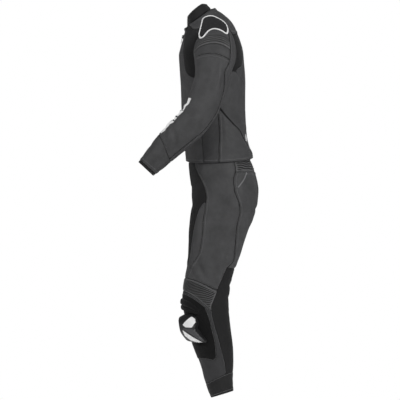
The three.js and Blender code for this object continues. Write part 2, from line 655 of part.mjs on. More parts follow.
/** Where the front stretch panel ends: at the leaf-shaped thigh front, then inwards above the knee. */
function stretchEdge(row) {
  if (row <= LEAF.top) return thighSeam(row);
  if (row <= LEAF.end) return leafSeam(row);
  return mix(leafSeam(LEAF.end), -18, (row - LEAF.end) / (KNEE.top - LEAF.end));
}
const leafRear = (row) => Math.max(thighSeam(row), stretchEdge(row) + POINT);
const outerSeam = (row) => (row < LEAF.top ? thighSeam(row) : leafRear(row));
const FRONT_ROWS = [...THIGH_ROWS, ...KNEE_ROWS];
const LEAF_ROWS = from(FRONT_ROWS, LEAF.top);
addPair("front_stretch", panel(leg, FRONT_ROWS, [inseam, stretchEdge], { columns: 5, wall: FABRIC }), "fabric");
addPair("thigh_front", panel(leg, LEAF_ROWS, [stretchEdge, leafRear], { columns: 3 }), "leather");
addPair("outer_thigh", panel(leg, FRONT_ROWS, [outerSeam, rearLegSeam], { columns: 5 }), "leather");
addPair("seat", panel(leg, from(THIGH_ROWS, RIBS_END), [rearLegSeam, inseamRound], { columns: 5 }), "leather");
const REAR_RIB_ROWS = [WAISTBAND + 0.5, 28, RIBS_END - 0.4];
addPair(
  "rear_ribs",
  panel(leg, REAR_RIB_ROWS, [rearLegSeam, inseamRound], { columns: 5, wall: PADDED }),
  "leather",
);
const SHIN_ROWS = [KNEE.end, 540, 590, 655, 735, CUFF_ROW];
const CALF_ROWS = [LEAF.end + 0.6, ...KNEE_ROWS, ...SHIN_ROWS];
const KNEE_RIB_ROWS = [KNEE.top + 0.8, 470, KNEE.end - 0.8];
addPair(
  "knee_ribs",
  panel(leg, KNEE_RIB_ROWS, [inseam, rearLegSeam], { columns: 9, wall: PADDED }),
  "leather",
);
addPair("shin", panel(leg, SHIN_ROWS, [inseam, rearLegSeam], { columns: 9 }), "dark");
addPair(
  "calf_stretch",
  panel(leg, CALF_ROWS, [rearLegSeam, inseamRound], { columns: 6, wall: FABRIC }),
  "fabric",
);
addPair("ankle_cuff", panel(leg, [CUFF_ROW, 864], [zero, turn], { columns: 16, round: true }), "fabric");

// ---------------------------------------------------------------- pieces that lie on the panels
const INSERT = { rows: [-64, -42, -20, 0, 17, 34, 52], notch: 0.38, middle: 84, spread: 26 };
const INSERT_EDGES = table("down front rear", [
  [-64, 74, 92], [-42, 62, 104], [-16, 50, 117], [0, 45, 124], [52, 34, 125],
]);
const insertFront = (row) => column(INSERT_EDGES, "front", row);
const insertRear = (row) => column(INSERT_EDGES, "rear", row);
/** The shoulder under the insert, whose lower edge rises in a notch at its middle. */
function insertGround(angle, row) {
  const rise = INSERT.notch * Math.exp(-(((angle - INSERT.middle) / INSERT.spread) ** 2));
  return shoulder(angle, row > 0 ? row * (1 - rise) : row);
}
addPair(
  "shoulder_insert",
  panel(insertGround, INSERT.rows, [insertFront, insertRear], { columns: 6, wall: 1.2, lift: 2.15 }),
  "fabric",
);
addPair(
  "knee_panel",
  panel(leg, [504, 540, 590, 655, 735], [() => -46, kneeSeam], { columns: 6, wall: 1.5, lift: 2.2 }),
  "knee",
);
const corners = (...pairs) => pairs.map(([across, down]) => ({ across, down }));
const puck = [{ share: 0.4, high: 1 }, { share: 0.8, high: 0.86 }, { share: 1, high: 0.3 }];
const PUCK_OUTLINE = corners(
  [-42, -42], [14, -52], [36, -44], [36, -8], [26, 10], [46, 44], [32, 52], [-14, 40], [-44, 6],
);
addPair(
  "knee_slider",
  pad(leg, { angle: 37, down: 622 }, PUCK_OUTLINE, { rings: puck, height: 30, lift: 5.1, sides: 2 }),
  "slider",
);
const roll = [{ share: 0.35, high: 1 }, { share: 0.75, high: 0.8 }, { share: 1, high: 0.2 }];
const CUP_OUTLINE = corners([-60, -6], [-30, -20], [30, -20], [62, -8], [60, 14], [20, 22], [-44, 20]);
addPair(
  "knee_cup",
  pad(leg, { angle: 22, down: 541 }, CUP_OUTLINE, { rings: roll, height: 8, lift: 6.5, sides: 2 }),
  "knee",
);
add(
  "fly",
  panel(hips, [32, 60, 90, 116], [() => -12, () => 9], { columns: 2, wall: 1.5, lift: 1.4 }),
  "leather",
);

export default suit;
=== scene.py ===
"""A worn two-piece leather motorcycle suit: panels, seams, stitches, ribs, piping, zip and knee sliders.

Lengths are in millimetres until a mesh is made, in the frame of the model: +Z up, -Y the front, +X the
wearer's left. Every panel lies on one of the surfaces torso, sleeve, leg, hips and collar. A surface takes
an angle round its section (0 front, 90 outer side, 180 back, -90 inner side) and a row, the distance down.
"""
import math

import bpy
import numpy as np
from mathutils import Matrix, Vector
from mathutils.bvhtree import BVHTree


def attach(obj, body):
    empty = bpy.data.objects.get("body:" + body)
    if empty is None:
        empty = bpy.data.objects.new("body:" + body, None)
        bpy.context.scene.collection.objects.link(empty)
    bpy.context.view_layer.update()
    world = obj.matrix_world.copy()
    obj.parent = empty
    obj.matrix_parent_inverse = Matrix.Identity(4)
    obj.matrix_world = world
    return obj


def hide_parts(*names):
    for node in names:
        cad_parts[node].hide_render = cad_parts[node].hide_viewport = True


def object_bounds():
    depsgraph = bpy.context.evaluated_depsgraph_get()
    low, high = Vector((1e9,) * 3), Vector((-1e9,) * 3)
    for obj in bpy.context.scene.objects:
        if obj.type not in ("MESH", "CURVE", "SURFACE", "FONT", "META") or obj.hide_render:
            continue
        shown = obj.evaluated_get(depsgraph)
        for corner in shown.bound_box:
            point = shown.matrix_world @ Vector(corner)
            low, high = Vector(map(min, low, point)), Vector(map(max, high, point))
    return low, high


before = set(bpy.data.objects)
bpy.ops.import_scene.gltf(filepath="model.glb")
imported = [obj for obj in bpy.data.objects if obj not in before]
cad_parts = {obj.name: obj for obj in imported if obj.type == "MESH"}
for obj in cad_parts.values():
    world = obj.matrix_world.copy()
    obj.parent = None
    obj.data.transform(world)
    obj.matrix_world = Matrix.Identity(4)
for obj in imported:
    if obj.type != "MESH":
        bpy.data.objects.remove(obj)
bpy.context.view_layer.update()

MM = 0.001
LEATHER = 1.8  # wall of a leather panel
FABRIC = 1.5  # wall of a stretch panel
PADDED = 2.6  # wall of an accordion panel or cuff
COLLAR_WALL = 5
GAP = 0.3  # left free beside the tape, on both sides together
CENTRE = 0.4  # how far each trouser half stays from the middle plane
ZIP_WIDTH = 11
HIP_Z = -492  # height of row 0 of the trousers
WAIST = -50  # first row of the trousers, inside the jacket
SIDES = ((1, "left"), (-1, "right"))


# ---------------- small tools
def table(names, *rows):
    """Rows of numbers as one array for each named column."""
    return {name: np.array(values, float) for name, values in zip(names.split(), zip(*rows))}


def hermite(t, start, leaving, end, arriving):
    """A cubic curve from one value to another, with the slopes at which it leaves and arrives."""
    leave = (2 * t**3 - 3 * t**2 + 1) * start + (t**3 - 2 * t**2 + t) * leaving
    return leave + ((3 * t**2 - 2 * t**3) * end + (t**3 - t**2) * arriving)


def column(rows, key, place, along="down"):
    """One column of a table at places between its rows, on a smooth curve that doesn't overshoot."""
    x, y = rows[along], rows[key]
    place = np.clip(place, x[0], x[-1])
    slope = np.diff(y) / np.diff(x)
    product = slope[:-1] * slope[1:]
    same_way = product > 0
    inner = np.where(same_way, 2 * product / np.where(same_way, slope[:-1] + slope[1:], 1), 0)
    tangent = np.concatenate([slope[:1], inner, slope[-1:]])
    i = np.clip(np.searchsorted(x, place, side="right") - 1, 0, len(x) - 2)
    step = x[i + 1] - x[i]
    return hermite((place - x[i]) / step, y[i], tangent[i] * step, y[i + 1], tangent[i + 1] * step)


def section(rows, place):
    return {key: column(rows, key, place) for key in rows}


def sin(degrees):
    return np.sin(np.radians(degrees))


def cos(degrees):
    return np.cos(np.radians(degrees))


def mix(a, b, t):
    return a + (b - a) * t


def smooth(t):
    """0 below 0, 1 above 1, and a soft step between."""
    t = np.clip(t, 0, 1)
    return t * t * (3 - 2 * t)


def bump(distance, width):
    """1 at no distance, falling softly to almost nothing at twice the width."""
    return np.exp(-((distance / width) ** 2))


def length(vectors):
    return np.linalg.norm(vectors, axis=-1)


def unit(vectors):
    return vectors / np.maximum(length(vectors)[..., None], 1e-9)


def reach_along(line):
    """The distance along a line at each of its points."""
    return np.concatenate([[0], np.cumsum(length(np.diff(line, axis=0)))])


def between(places, reach, values):
    """Values given at a line's points, at other distances along it."""
    return np.stack([np.interp(places, reach, part) for part in values.T], -1)


def full_circle(count):
    return np.arange(count) * 2 * np.pi / count


def outline_area(outline):
    """The area inside an outline, negative where it runs clockwise."""
    ahead = np.roll(outline, -1, axis=0)
    return float((outline[:, 0] * ahead[:, 1] - ahead[:, 0] * outline[:, 1]).sum()) / 2


def paired(angle, row):
    return np.broadcast_arrays(np.asarray(angle, float), np.asarray(row, float))


def rounded(angle, half, deep, power):
    """A rounded section at an angle: how far sideways and how far forward of its centre."""
    s, c = sin(angle), cos(angle)
    r = (np.abs(s / half) ** power + np.abs(c / deep) ** power) ** (-1 / power)
    return r * s, r * c


def leaning(s, side, fore):
    """A point of a section that leans: its front hangs lower by its tilt."""
    return np.stack([side, s["y"] - fore * cos(s["tilt"]), s["z"] - fore * sin(s["tilt"])], -1)


def angle_at_share(share, half, deep, power):
    """The outer side's angle at a share of the depth: 0 at the front edge, 1 at the back."""
    fore = 1 - 2 * share
    side = half * np.maximum(0, 1 - np.abs(fore) ** power) ** (1 / power)
    return np.degrees(np.arctan2(side, deep * fore))


def at_angle(angle):
    """A seam at one angle all the way down."""
    return lambda row: angle + 0 * row


def angle_seam(*rows):
    """A seam whose angle changes down the surface."""
    angles = table("down angle", *rows)
    return lambda row: column(angles, "angle", row)


def beside_zip(sections, gap=0.0):
    """The seam beside the zip, on a surface with these sections."""
    return lambda down: np.degrees(np.arctan2(ZIP_WIDTH / 2 + gap, column(sections, "deep", down)))


def other_side(seam):
    return lambda row: 360 - seam(row)


# ---------------- torso
TORSO = table(
    "down y z tilt half deep power dip",
    [0, -46, -2, 37, 70, 53, 2.0, 0],  # neck seam
    [45, -31, -26, 29, 116, 78, 2.1, 0],
    [100, -15, -56, 19, 164, 95, 2.4, 0],  # shoulder tip
    [150, -7, -94, 9, 172, 106, 2.5, 0],
    [195, -3, -137, 3, 168, 115, 2.5, 0],
    [245, 1, -187, 0, 162, 116, 2.5, 0],  # underarm
    [310, 4, -252, 0, 158, 115, 2.4, 0],
    [370, 5, -312, 0, 154, 114, 2.4, 0],
    [430, 8, -372, 0, 151, 113, 2.4, 0],  # waist
    [485, 13, -427, 0, 152, 112, 2.4, 0],
    [535, 19, -469, 1, 160, 115, 2.4, 3],
    [575, 26, -498, 2.5, 170, 119.5, 2.4, 7],
    [595, 28, -514, 2.8, 172, 119, 2.4, 10],  # hem
)
ARMHOLE_DOWN, ARMHOLE_TALL = 170, 92  # centre and half height of the armhole on the torso
ARMHOLE_ANGLE, ARMHOLE_WIDE = 99, 28


def torso(angle, down):
    s = section(TORSO, down)
    side, fore = rounded(angle, s["half"], s["deep"], s["power"])
    point = leaning(s, side, fore)
    point[..., 2] -= s["dip"] * sin(angle) ** 2
    return point


def torso_share(*rows):
    shares = table("down share", *rows)

    def seam(down):
        s = section(TORSO, down)
        return angle_at_share(column(shares, "share", down), s["half"], s["deep"], s["power"])

    return seam


def armhole_edge(way):
    """The armhole's edge on the torso: its front side for -1, its back side for 1."""

    def seam(down):
        t = np.clip((down - ARMHOLE_DOWN) / ARMHOLE_TALL, -1, 1)
        return ARMHOLE_ANGLE + way * ARMHOLE_WIDE * np.sqrt(1 - t * t)

    return seam


def armhole_row(k):
    """A row of the torso beside the armhole: 0 at its top, 8 at its bottom."""
    return ARMHOLE_DOWN - ARMHOLE_TALL * math.cos(math.pi * k / 8)


zip_edge = beside_zip(TORSO)


shoulder_seam = angle_seam([0, 51], [45, 69], [armhole_row(0), ARMHOLE_ANGLE])


chest_seam = torso_share(
    [0, 0.03], [45, 0.025], [100, 0.03], [150, 0.05], [195, 0.07], [245, 0.08], [270, 0.13], [290, 0.3],
    [595, 0.26],
)
side_seam_below = torso_share(
    [262, 0.56], [300, 0.56], [368, 0.56], [433, 0.57], [485, 0.56], [540, 0.52], [595, 0.485]
)
centre_back_seam = torso_share(
    [130, 0.97], [170, 0.985], [205, 0.983], [235, 0.955], [255, 0.86], [262, 0.89], [290, 0.97],
    [330, 0.985], [595, 0.985],
)
diagonal_seam = torso_share(
    [376, 0.567], [395, 0.616], [440, 0.787], [465, 0.886], [503, 0.951], [535, 0.984], [595, 0.985]
)
UNDERARM = armhole_row(8)


def side_seam(down):
    return np.where(down <= UNDERARM, ARMHOLE_ANGLE, side_seam_below(down))


# ---------------- sleeve
CAP_END = 200  # where the sleeve cap has become a round sleeve
SLEEVE = table(
    "down x y z tilt half deep",
    [200, 224, 0, -222, 2, 55, 64],
    [245, 232, -15, -272, -6, 55, 61],
    [290, 238, -31, -318, -16, 54, 60],
    [325, 242, -47, -348, -25, 53, 59],  # elbow
    [365, 244, -70, -380, -33, 52, 59],
    [420, 243, -111, -420, -37, 50, 57],
    [480, 240, -151, -458, -38, 46, 52],
    [540, 236, -189, -497, -39, 41, 45],
    [590, 232, -219, -528, -40, 37, 39],
    [622, 230, -238, -547, -43, 35, 35],  # end of the cuff
)
SLEEVE_SLANT = table(
    "row ahead", [0, 0], [58, 22], [127, 22], [200, 0], [410, 0], [505, 27], [600, 0], [622, 0]
)
CAP_PULL = 1.15  # how far the cap swings out before it turns down


def lower_sleeve(angle, down):
    s = section(SLEEVE, down)
    side, fore = rounded(angle, s["half"], s["deep"], 2)
    return leaning(s, s["x"] + side, fore)


def armhole(angle):
    """The armhole's edge at a sleeve angle."""
    return torso(ARMHOLE_ANGLE - ARMHOLE_WIDE * cos(angle), ARMHOLE_DOWN - ARMHOLE_TALL * sin(angle))


def sleeve(angle, row):
    """A point of the sleeve: the cap curves from the armhole down to the first round section."""
    angle, row = paired(angle, row)
    down = row - column(SLEEVE_SLANT, "ahead", row, "row") * cos(angle)
    t = (np.clip(down, 0, CAP_END) / CAP_END)[..., None]
    start, end = armhole(angle), lower_sleeve(angle, CAP_END)
    pull = length(end - start)[..., None] * CAP_PULL
    s, c = sin(angle), cos(angle)
    leaving = unit(np.stack([0.9 + 0 * s, -np.where(c > 0, 0.3, 0.05) * c, -0.38 + 0.1 * s], -1)) * pull
    arriving = unit(lower_sleeve(angle, CAP_END + 5) - end) * pull
    cap = hermite(t, start, leaving, end, arriving)
    return np.where((down >= CAP_END)[..., None], lower_sleeve(angle, down), cap)


rear_sleeve_seam = angle_seam(
    [0, 135], [60, 142], [125, 146], [158, 139], [182, 134], [210, 143], [245, 154], [290, 156],
    [365, 152], [420, 146], [622, 143],
)
front_sleeve_seam, front_sleeve_seam_round = at_angle(-22.5), at_angle(337.5)


# ---------------- hips and legs
LEG = table(
    "down y deep x inner outer tilt power",
    [-50, 14.5, 107.6, 0, 100, 148.8, 0, 2.4],  # waist
    [-26, 17.5, 109.1, 0, 100, 152.6, 0, 2.4],
    [0, 21, 107, 0, 100, 155, 0, 2.4],
    [28, 28, 110, 0, 100, 162, 0, 2.4],
    [46, 32.5, 113.5, 0, 100, 166, 0, 2.4],
    [85, 41, 118, 0, 100, 172, 0, 2.3],
    [128, 47, 119, 24, 96, 153, 0, 2.2],
    [163, 46, 118, 58, 82, 119, 0, 2.1],
    [205, 41, 116, 86, 85.2, 89, 0, 2.0],  # crotch
    [234, 33, 112, 91, 87, 83, 0, 2.0],
    [277, 23, 106, 96, 84, 77, 0, 2.0],
    [319, 15, 99, 100, 80, 72, 0, 2.0],
    [361, 8, 94, 103, 76, 68, 0, 2.0],
    [404, -2, 88, 105, 71, 65, 0, 2.0],
    [446, -13, 84, 106, 66, 62, 0, 2.0],
    [488, -20, 83, 107, 62, 60, 0, 2.1],
    [530, -22, 81, 108, 60, 59, 0, 2.1],  # knee
    [573, -18, 79, 109, 59, 58, 0, 2.1],
    [615, -13, 78, 110, 58, 58, 0, 2.0],
    [678, 2, 71, 111, 57, 57, 0, 2.0],  # calf
    [721, 11, 64, 112, 53, 53, 0, 2.0],
    [763, 19, 57, 112, 49, 49, 2, 2.0],
    [805, 24, 51, 113, 45, 45, 6, 2.0],
    [838, 30, 46, 113, 42, 42, 12, 2.0],
    [864, 37, 41, 114, 41, 41, 17, 2.0],  # ankle hem
)
SLANT = table(
    "row drop",
    [0, 0], [340, 0], [446, 56], [494, 108], [600, 66], [719, 22], [760, 0], [818, -32], [864, 0],
)


def slanted(angle, row):
    return row + column(SLANT, "drop", row, "row") * (1 - cos(angle)) / 2


def leg(angle, row):
    s = section(LEG, slanted(angle, row))
    s["z"] = HIP_Z - s["down"]
    side, fore = rounded(angle, np.where(sin(angle) < 0, s["inner"], s["outer"]), s["deep"], s["power"])
    return leaning(s, s["x"] + side, fore)


def hips(angle, row):
    """Both halves of the hips as one surface. Above the crotch only."""
    angle, row = paired(angle, row)
    turned = np.mod(angle, 360)
    right = turned > 180
    point = leg(np.where(right, 360 - turned, turned), row)
    point[..., 0] *= np.where(right, -1, 1)
    return point


def leg_share(*rows):
    """A seam on the outer side of the leg, at a share of its depth, followed down the rows' slope."""
    shares = table("down share", *rows)

    def seam(row):
        angle = 90 + 0 * np.asarray(row, float)
        for _ in range(6):
            down = slanted(angle, row)
            s = section(LEG, down)
            angle = angle_at_share(column(shares, "share", down), s["outer"], s["deep"], s["power"])
        return angle

    return seam


def inseam(row):
    """Where the front of a trouser half ends: the middle plane above the crotch, the inseam below it."""
    s = section(LEG, row)
    reach = (s["x"] - CENTRE) / s["inner"]
    fore = s["deep"] * (1 - np.clip(reach, 0, 1) ** s["power"]) ** (1 / s["power"])
    return np.where(reach >= 1, -90, np.degrees(np.arctan2(CENTRE - s["x"], fore)))


def inseam_round(row):
    edge = inseam(row)
    return np.where(edge <= -90, 270, 180 - edge)


thigh_seam = leg_share(
    [0, 0.08], [49, 0.095], [91, 0.154], [133, 0.203], [161, 0.221], [188, 0.213], [230, 0.212],
    [283, 0.233], [328, 0.226], [359, 0.2], [378, 0.15], [410, 0.08], [446, 0.03],
)
leaf_seam = leg_share([175, 0.19], [206, 0.11], [248, 0.085], [290, 0.065], [335, 0.045], [387, 0.02])
rear_leg_seam = leg_share(
    [0, 0.74], [49, 0.72], [108, 0.634], [133, 0.64], [161, 0.687], [188, 0.734], [230, 0.774], [265, 0.79],
    [318, 0.85], [352, 0.875], [386, 0.91], [412, 0.83], [425, 0.82], [450, 0.8], [478, 0.76], [510, 0.71],
    [530, 0.665], [551, 0.615], [583, 0.61], [614, 0.64], [667, 0.67], [719, 0.71], [771, 0.76],
    [864, 0.77],
)
knee_seam = leg_share(
    [500, 0.22], [520, 0.33], [541, 0.44], [583, 0.53], [614, 0.565], [667, 0.57], [719, 0.54], [740, 0.53]
)

# ---------------- collar
COLLAR = table(
    "down y z tilt half deep",
    [0, -56, 29, 36, 58, 38],  # top edge
    [16, -53, 16, 37, 64, 45],
    [32, -48, 3, 37, 69, 51],
    [40, -46.5, -1, 37, 70, 53],  # neck seam
)


def collar(angle, down):
    s = section(COLLAR, down)
    side, fore = rounded(angle, s["half"], s["deep"], 2)
    return leaning(s, side, fore)


def shoulder(angle, row):
    """The sleeve cap carried on over the shoulder: above the armhole it follows the torso."""
    angle, row = paired(angle, row)
    above = np.minimum(row, 0)
    over = torso(
        ARMHOLE_ANGLE - (ARMHOLE_WIDE - above * 0.25) * cos(angle),
        ARMHOLE_DOWN - (ARMHOLE_TALL - above) * sin(angle),
    )
    return np.where((row >= 0)[..., None], sleeve(angle, np.maximum(row, 0)), over)


# ---------------- panels
STEP = 0.05  # of a degree or millimetre, for slopes
EVEN = 4.2  # spacing of the lines between a panel's edges
EDGE_LINES = np.array([0.06, 0.7, 1.5, 2.3, 3.1, 4.6, 6.6, 7.8, 8.6, 9.6, 11.5, 14])
INNER_STEP = 4  # the inner face has every fourth line of the outer one
ALLOWANCE = 1.5  # how far a sewn edge reaches under its neighbour
STITCH_IN, STITCH_OUT = 2.3, 8.6  # distances of the two rows of stitches from a panel's edge
STITCH = dict(pitch=4.4, start=3, long=3.3, thick=0.62)

threads = {"jacket": [], "trousers": []}  # (points, normals) of each row of stitches


def frame_at(surface, angle, row):
    """The surface's points, outward normals, and lengths of a degree round it and a millimetre down it."""
    across = (surface(angle + STEP, row) - surface(angle - STEP, row)) / (2 * STEP)
    along = (surface(angle, row + STEP) - surface(angle, row - STEP)) / (2 * STEP)
    return surface(angle, row), unit(np.cross(along, across)), length(across), length(along)


def edge_lines(even):
    """The lines beside an edge: those that seams need, or even ones where the panel is finer."""
    if even > 2:
        return EDGE_LINES
    return np.concatenate([EDGE_LINES[:1], np.arange(even, EDGE_LINES[-1] + 0.01, even)])


def spread(total, even, widest=None):
    """Shares from 0 to 1 of a length: fine lines beside its ends, and as many between as the widest has."""
    widest = widest or total
    lines, most = (edge_lines(even) * min(1, size / (2.4 * EDGE_LINES[-1])) for size in (total, widest))
    count = max(1, round((widest - 2 * most[-1]) / even))
    inner = lines[-1] + (total - 2 * lines[-1]) * np.arange(1, count) / count
    return np.concatenate([lines, inner, (total - lines)[::-1]]) / total


def edge_height(kind, distance):
    """How a panel's face rises and falls beside an edge of a kind."""
    roll = -1.35 * np.clip(1 - distance / 2.6, 0, 1) ** 1.6
    if kind == "plain":
        return roll
    if kind == "turned":
        return roll - 0.6 * bump(distance - STITCH_IN, 0.9) + 0.4 * bump(distance - 6, 2.6)
    if kind == "felled":
        raised = 1.5 * smooth((11.5 - distance) / 2.4)
        return roll + raised - 0.95 * (bump(distance - STITCH_IN, 0.9) + bump(distance - STITCH_OUT, 0.9))
    if kind == "open":
        return -1.5 * np.clip(1 - distance / 4, 0, 1) ** 1.3 + 0.5 * bump(distance - 7, 3)
    if kind == "hem":
        raised = 0.9 * smooth((14 - distance) / 3)
        return roll + raised - 0.6 * bump(distance - STITCH_OUT, 1.0)
    return 0 * distance


def edge_painted_shade(kind, distance):
    """How much painted shade darkens the colour beside an edge of a kind: a dark line in the seam's gap."""
    if kind in ("turned", "felled"):
        return smooth((4.4 - distance) / 2.6)
    if kind == "plain":
        return 0.8 * bump(distance, 1.8)
    if kind == "open":
        return smooth((5.2 - distance) / 2)
    return 0 * distance


STITCHED = dict(felled=(STITCH_IN, STITCH_OUT), turned=(STITCH_IN,), hem=(STITCH_OUT,))
ALL_PLAIN = "plain plain plain plain"


def lowest_near(values):
    """At each point the lowest value within INNER_STEP lines of it."""
    for axis in (0, 1):
        padded = np.pad(values, [(INNER_STEP, INNER_STEP) if k == axis else (0, 0) for k in (0, 1)], "edge")
        shifted = [np.roll(padded, k, axis) for k in range(-INNER_STEP, INNER_STEP + 1)]
        values = np.minimum.reduce(shifted).take(np.arange(values.shape[axis]) + INNER_STEP, axis)
    return values


class Grid:
    """The outer face of a panel as rows of points, with what the looks need to know at each.

    seams are its left and right ones, and edges the kinds of its left, right, top and bottom edge.
    """

    def __init__(self, surface, rows, seams, edges, even=EVEN, even_rows=None, around=False):
        line = np.linspace(0, 1, 41)
        middle = mix(*(seam(np.array(rows, float)) for seam in seams), 0.5)
        tall = length(np.diff(surface(mix(*middle, line), mix(*rows, line)), axis=0)).sum()
        even_rows = even_rows or even
        self.column_lines, self.row_lines = edge_lines(even), edge_lines(even_rows)
        shares = spread(tall, even_rows)
        down = mix(*rows, shares)
        left, right = (seam(down)[:, None] for seam in seams)
        angles = mix(left, right, np.linspace(0, 1, 25))
        wide = length(np.diff(surface(angles, down[:, None] + 0 * angles), axis=1)).sum(1)
        if around:
            count = int(round(wide.max() / even / 4) * 4)
            across = np.tile(np.arange(count) / count, (len(down), 1))
        else:
            across = np.array([spread(w, even, wide.max()) for w in wide])
        self.angle, self.row = mix(left, right, across), down[:, None] + 0 * across
        self.point, self.normal, _, _ = frame_at(surface, self.angle, self.row)
        self.from_top = shares[:, None] * tall + 0 * across
        self.uv = np.stack([across * wide[:, None], self.from_top], -1)
        beside = [1e3 + 0 * across] * 2 if around else [self.uv[..., 0], (1 - across) * wide[:, None]]
        self.away = [*beside, self.from_top, (1 - shares[:, None]) * tall + 0 * across]
        self.nearest = np.minimum.reduce(self.away)
        self.around, self.edges, self.tall, self.wide = around, edges.split(), tall, float(wide.max())
        self.height = np.zeros_like(across)  # fine relief, of the outer face only
        self.fold = np.zeros_like(across)  # folds and fullness, of the whole wall
        self.shade = np.zeros_like(across)  # painted shade: how much darker the colour is in seams and rib valleys
        for kind, distance in zip(self.edges, self.away):
            self.height += edge_height(kind, distance)
            self.shade = np.maximum(self.shade, edge_painted_shade(kind, distance))

    def outer(self):
        return self.point + self.normal * (self.fold + self.height)[..., None]

    def inner(self, wall):
        """The inner face, whose sewn edges reach under the next panel as a narrow seam allowance."""
        face = self.point + self.normal * (lowest_near(self.fold) - wall)[..., None]
        left, right, top, bottom = (ALLOWANCE * (kind not in ("hem", "none")) for kind in self.edges)
        lines = face.copy()
        if not self.around:
            face[:, 0] += left * unit(lines[:, 0] - lines[:, 4])
            face[:, -1] += right * unit(lines[:, -1] - lines[:, -5])
        face[0] += top * unit(lines[0] - lines[4])
        face[-1] += bottom * unit(lines[-1] - lines[-5])
        return face


def mesh_object(name, points, faces, uv=None, sharp=50, shade=None, side=1):
    """A mesh of millimetre points as a new object in metres, shaded smooth but for its sharp edges.

    With side -1 it is the mirror image, on the wearer's right.
    """
    mesh = bpy.data.meshes.new(name)
    faces = [[int(corner) for corner in face[::side]] for face in faces]
    mesh.from_pydata((np.asarray(points) * [side, 1, 1] * MM).tolist(), [], faces)
    mesh.shade_smooth()
    mesh.set_sharp_from_angle(angle=math.radians(sharp))
    if uv is not None:
        layer = mesh.uv_layers.new(name="cloth")
        corner = np.empty(len(mesh.loops), int)
        mesh.loops.foreach_get("vertex_index", corner)
        layer.data.foreach_set("uv", (np.asarray(uv) * MM)[corner].ravel())
    if shade is not None:
        mesh.attributes.new("shade", "FLOAT", "POINT").data.foreach_set("value", np.asarray(shade, float))
    mesh.validate()
    made = bpy.data.objects.new(name, mesh)
    bpy.context.scene.collection.objects.link(made)
    return made


def wrapped(ids, axis=0):
    """A grid of point numbers with its first line again after its last one, so that it closes on itself."""
    return np.concatenate([ids, ids.take([0], axis)], axis)


def quads(ids):
    """The faces between the lines of a grid of point numbers."""
    return np.stack([ids[:-1, :-1], ids[1:, :-1], ids[1:, 1:], ids[:-1, 1:]], -1).reshape(-1, 4).tolist()


def picks(count, around=False):
    """Every fourth line and the last one."""
    chosen = list(range(0, count, INNER_STEP))
    if not around and chosen[-1] != count - 1:
        chosen.append(count - 1)
    return np.array(chosen)


def rim_faces(outer_ids, inner_ids, chosen, closed):
    """Triangles between an edge of the outer face and the same edge of the coarser inner face."""
    faces = []
    stops = list(chosen) + ([len(outer_ids)] if closed else [])
    for k in range(len(stops) - 1):
        near = inner_ids[k]
        for j in range(stops[k], stops[k + 1]):
            faces.append((near, outer_ids[(j + 1) % len(outer_ids)], outer_ids[j]))
        faces.append((near, inner_ids[(k + 1) % len(inner_ids)], outer_ids[stops[k + 1] % len(outer_ids)]))
    return faces


def wall_mesh(name, grid, wall, side=1):
    """A closed thin wall: the fine outer face, a coarser inner face, and a rim between them."""
    rows, columns = (picks(count, around) for count, around in zip(grid.angle.shape, (False, grid.around)))
    picked = np.ix_(rows, columns)
    inner = grid.inner(wall)[picked]
    over = np.arange(grid.angle.size).reshape(grid.angle.shape)
    under = np.arange(len(rows) * len(columns)).reshape(len(rows), len(columns)) + over.size
    faces = rim_faces(over[-1], under[-1], columns, grid.around)
    turned = rim_faces(over[0], under[0], columns, grid.around)
    if grid.around:
        faces += quads(wrapped(over, 1))
        turned += quads(wrapped(under, 1))
    else:
        faces += quads(over) + rim_faces(over[:, 0], under[:, 0], rows, False)
        turned += quads(under) + rim_faces(over[:, -1], under[:, -1], rows, False)
    points = np.concatenate([grid.outer().reshape(-1, 3), inner.reshape(-1, 3)])
    uv = np.concatenate([grid.uv.reshape(-1, 2), grid.uv[picked].reshape(-1, 2)])
    # painted shade: the inner face is painted fully shaded all over
    shade = np.concatenate([grid.shade.ravel(), np.ones(under.size)])
    return mesh_object(name, points, faces + [face[::-1] for face in turned], uv, 75, shade, side)


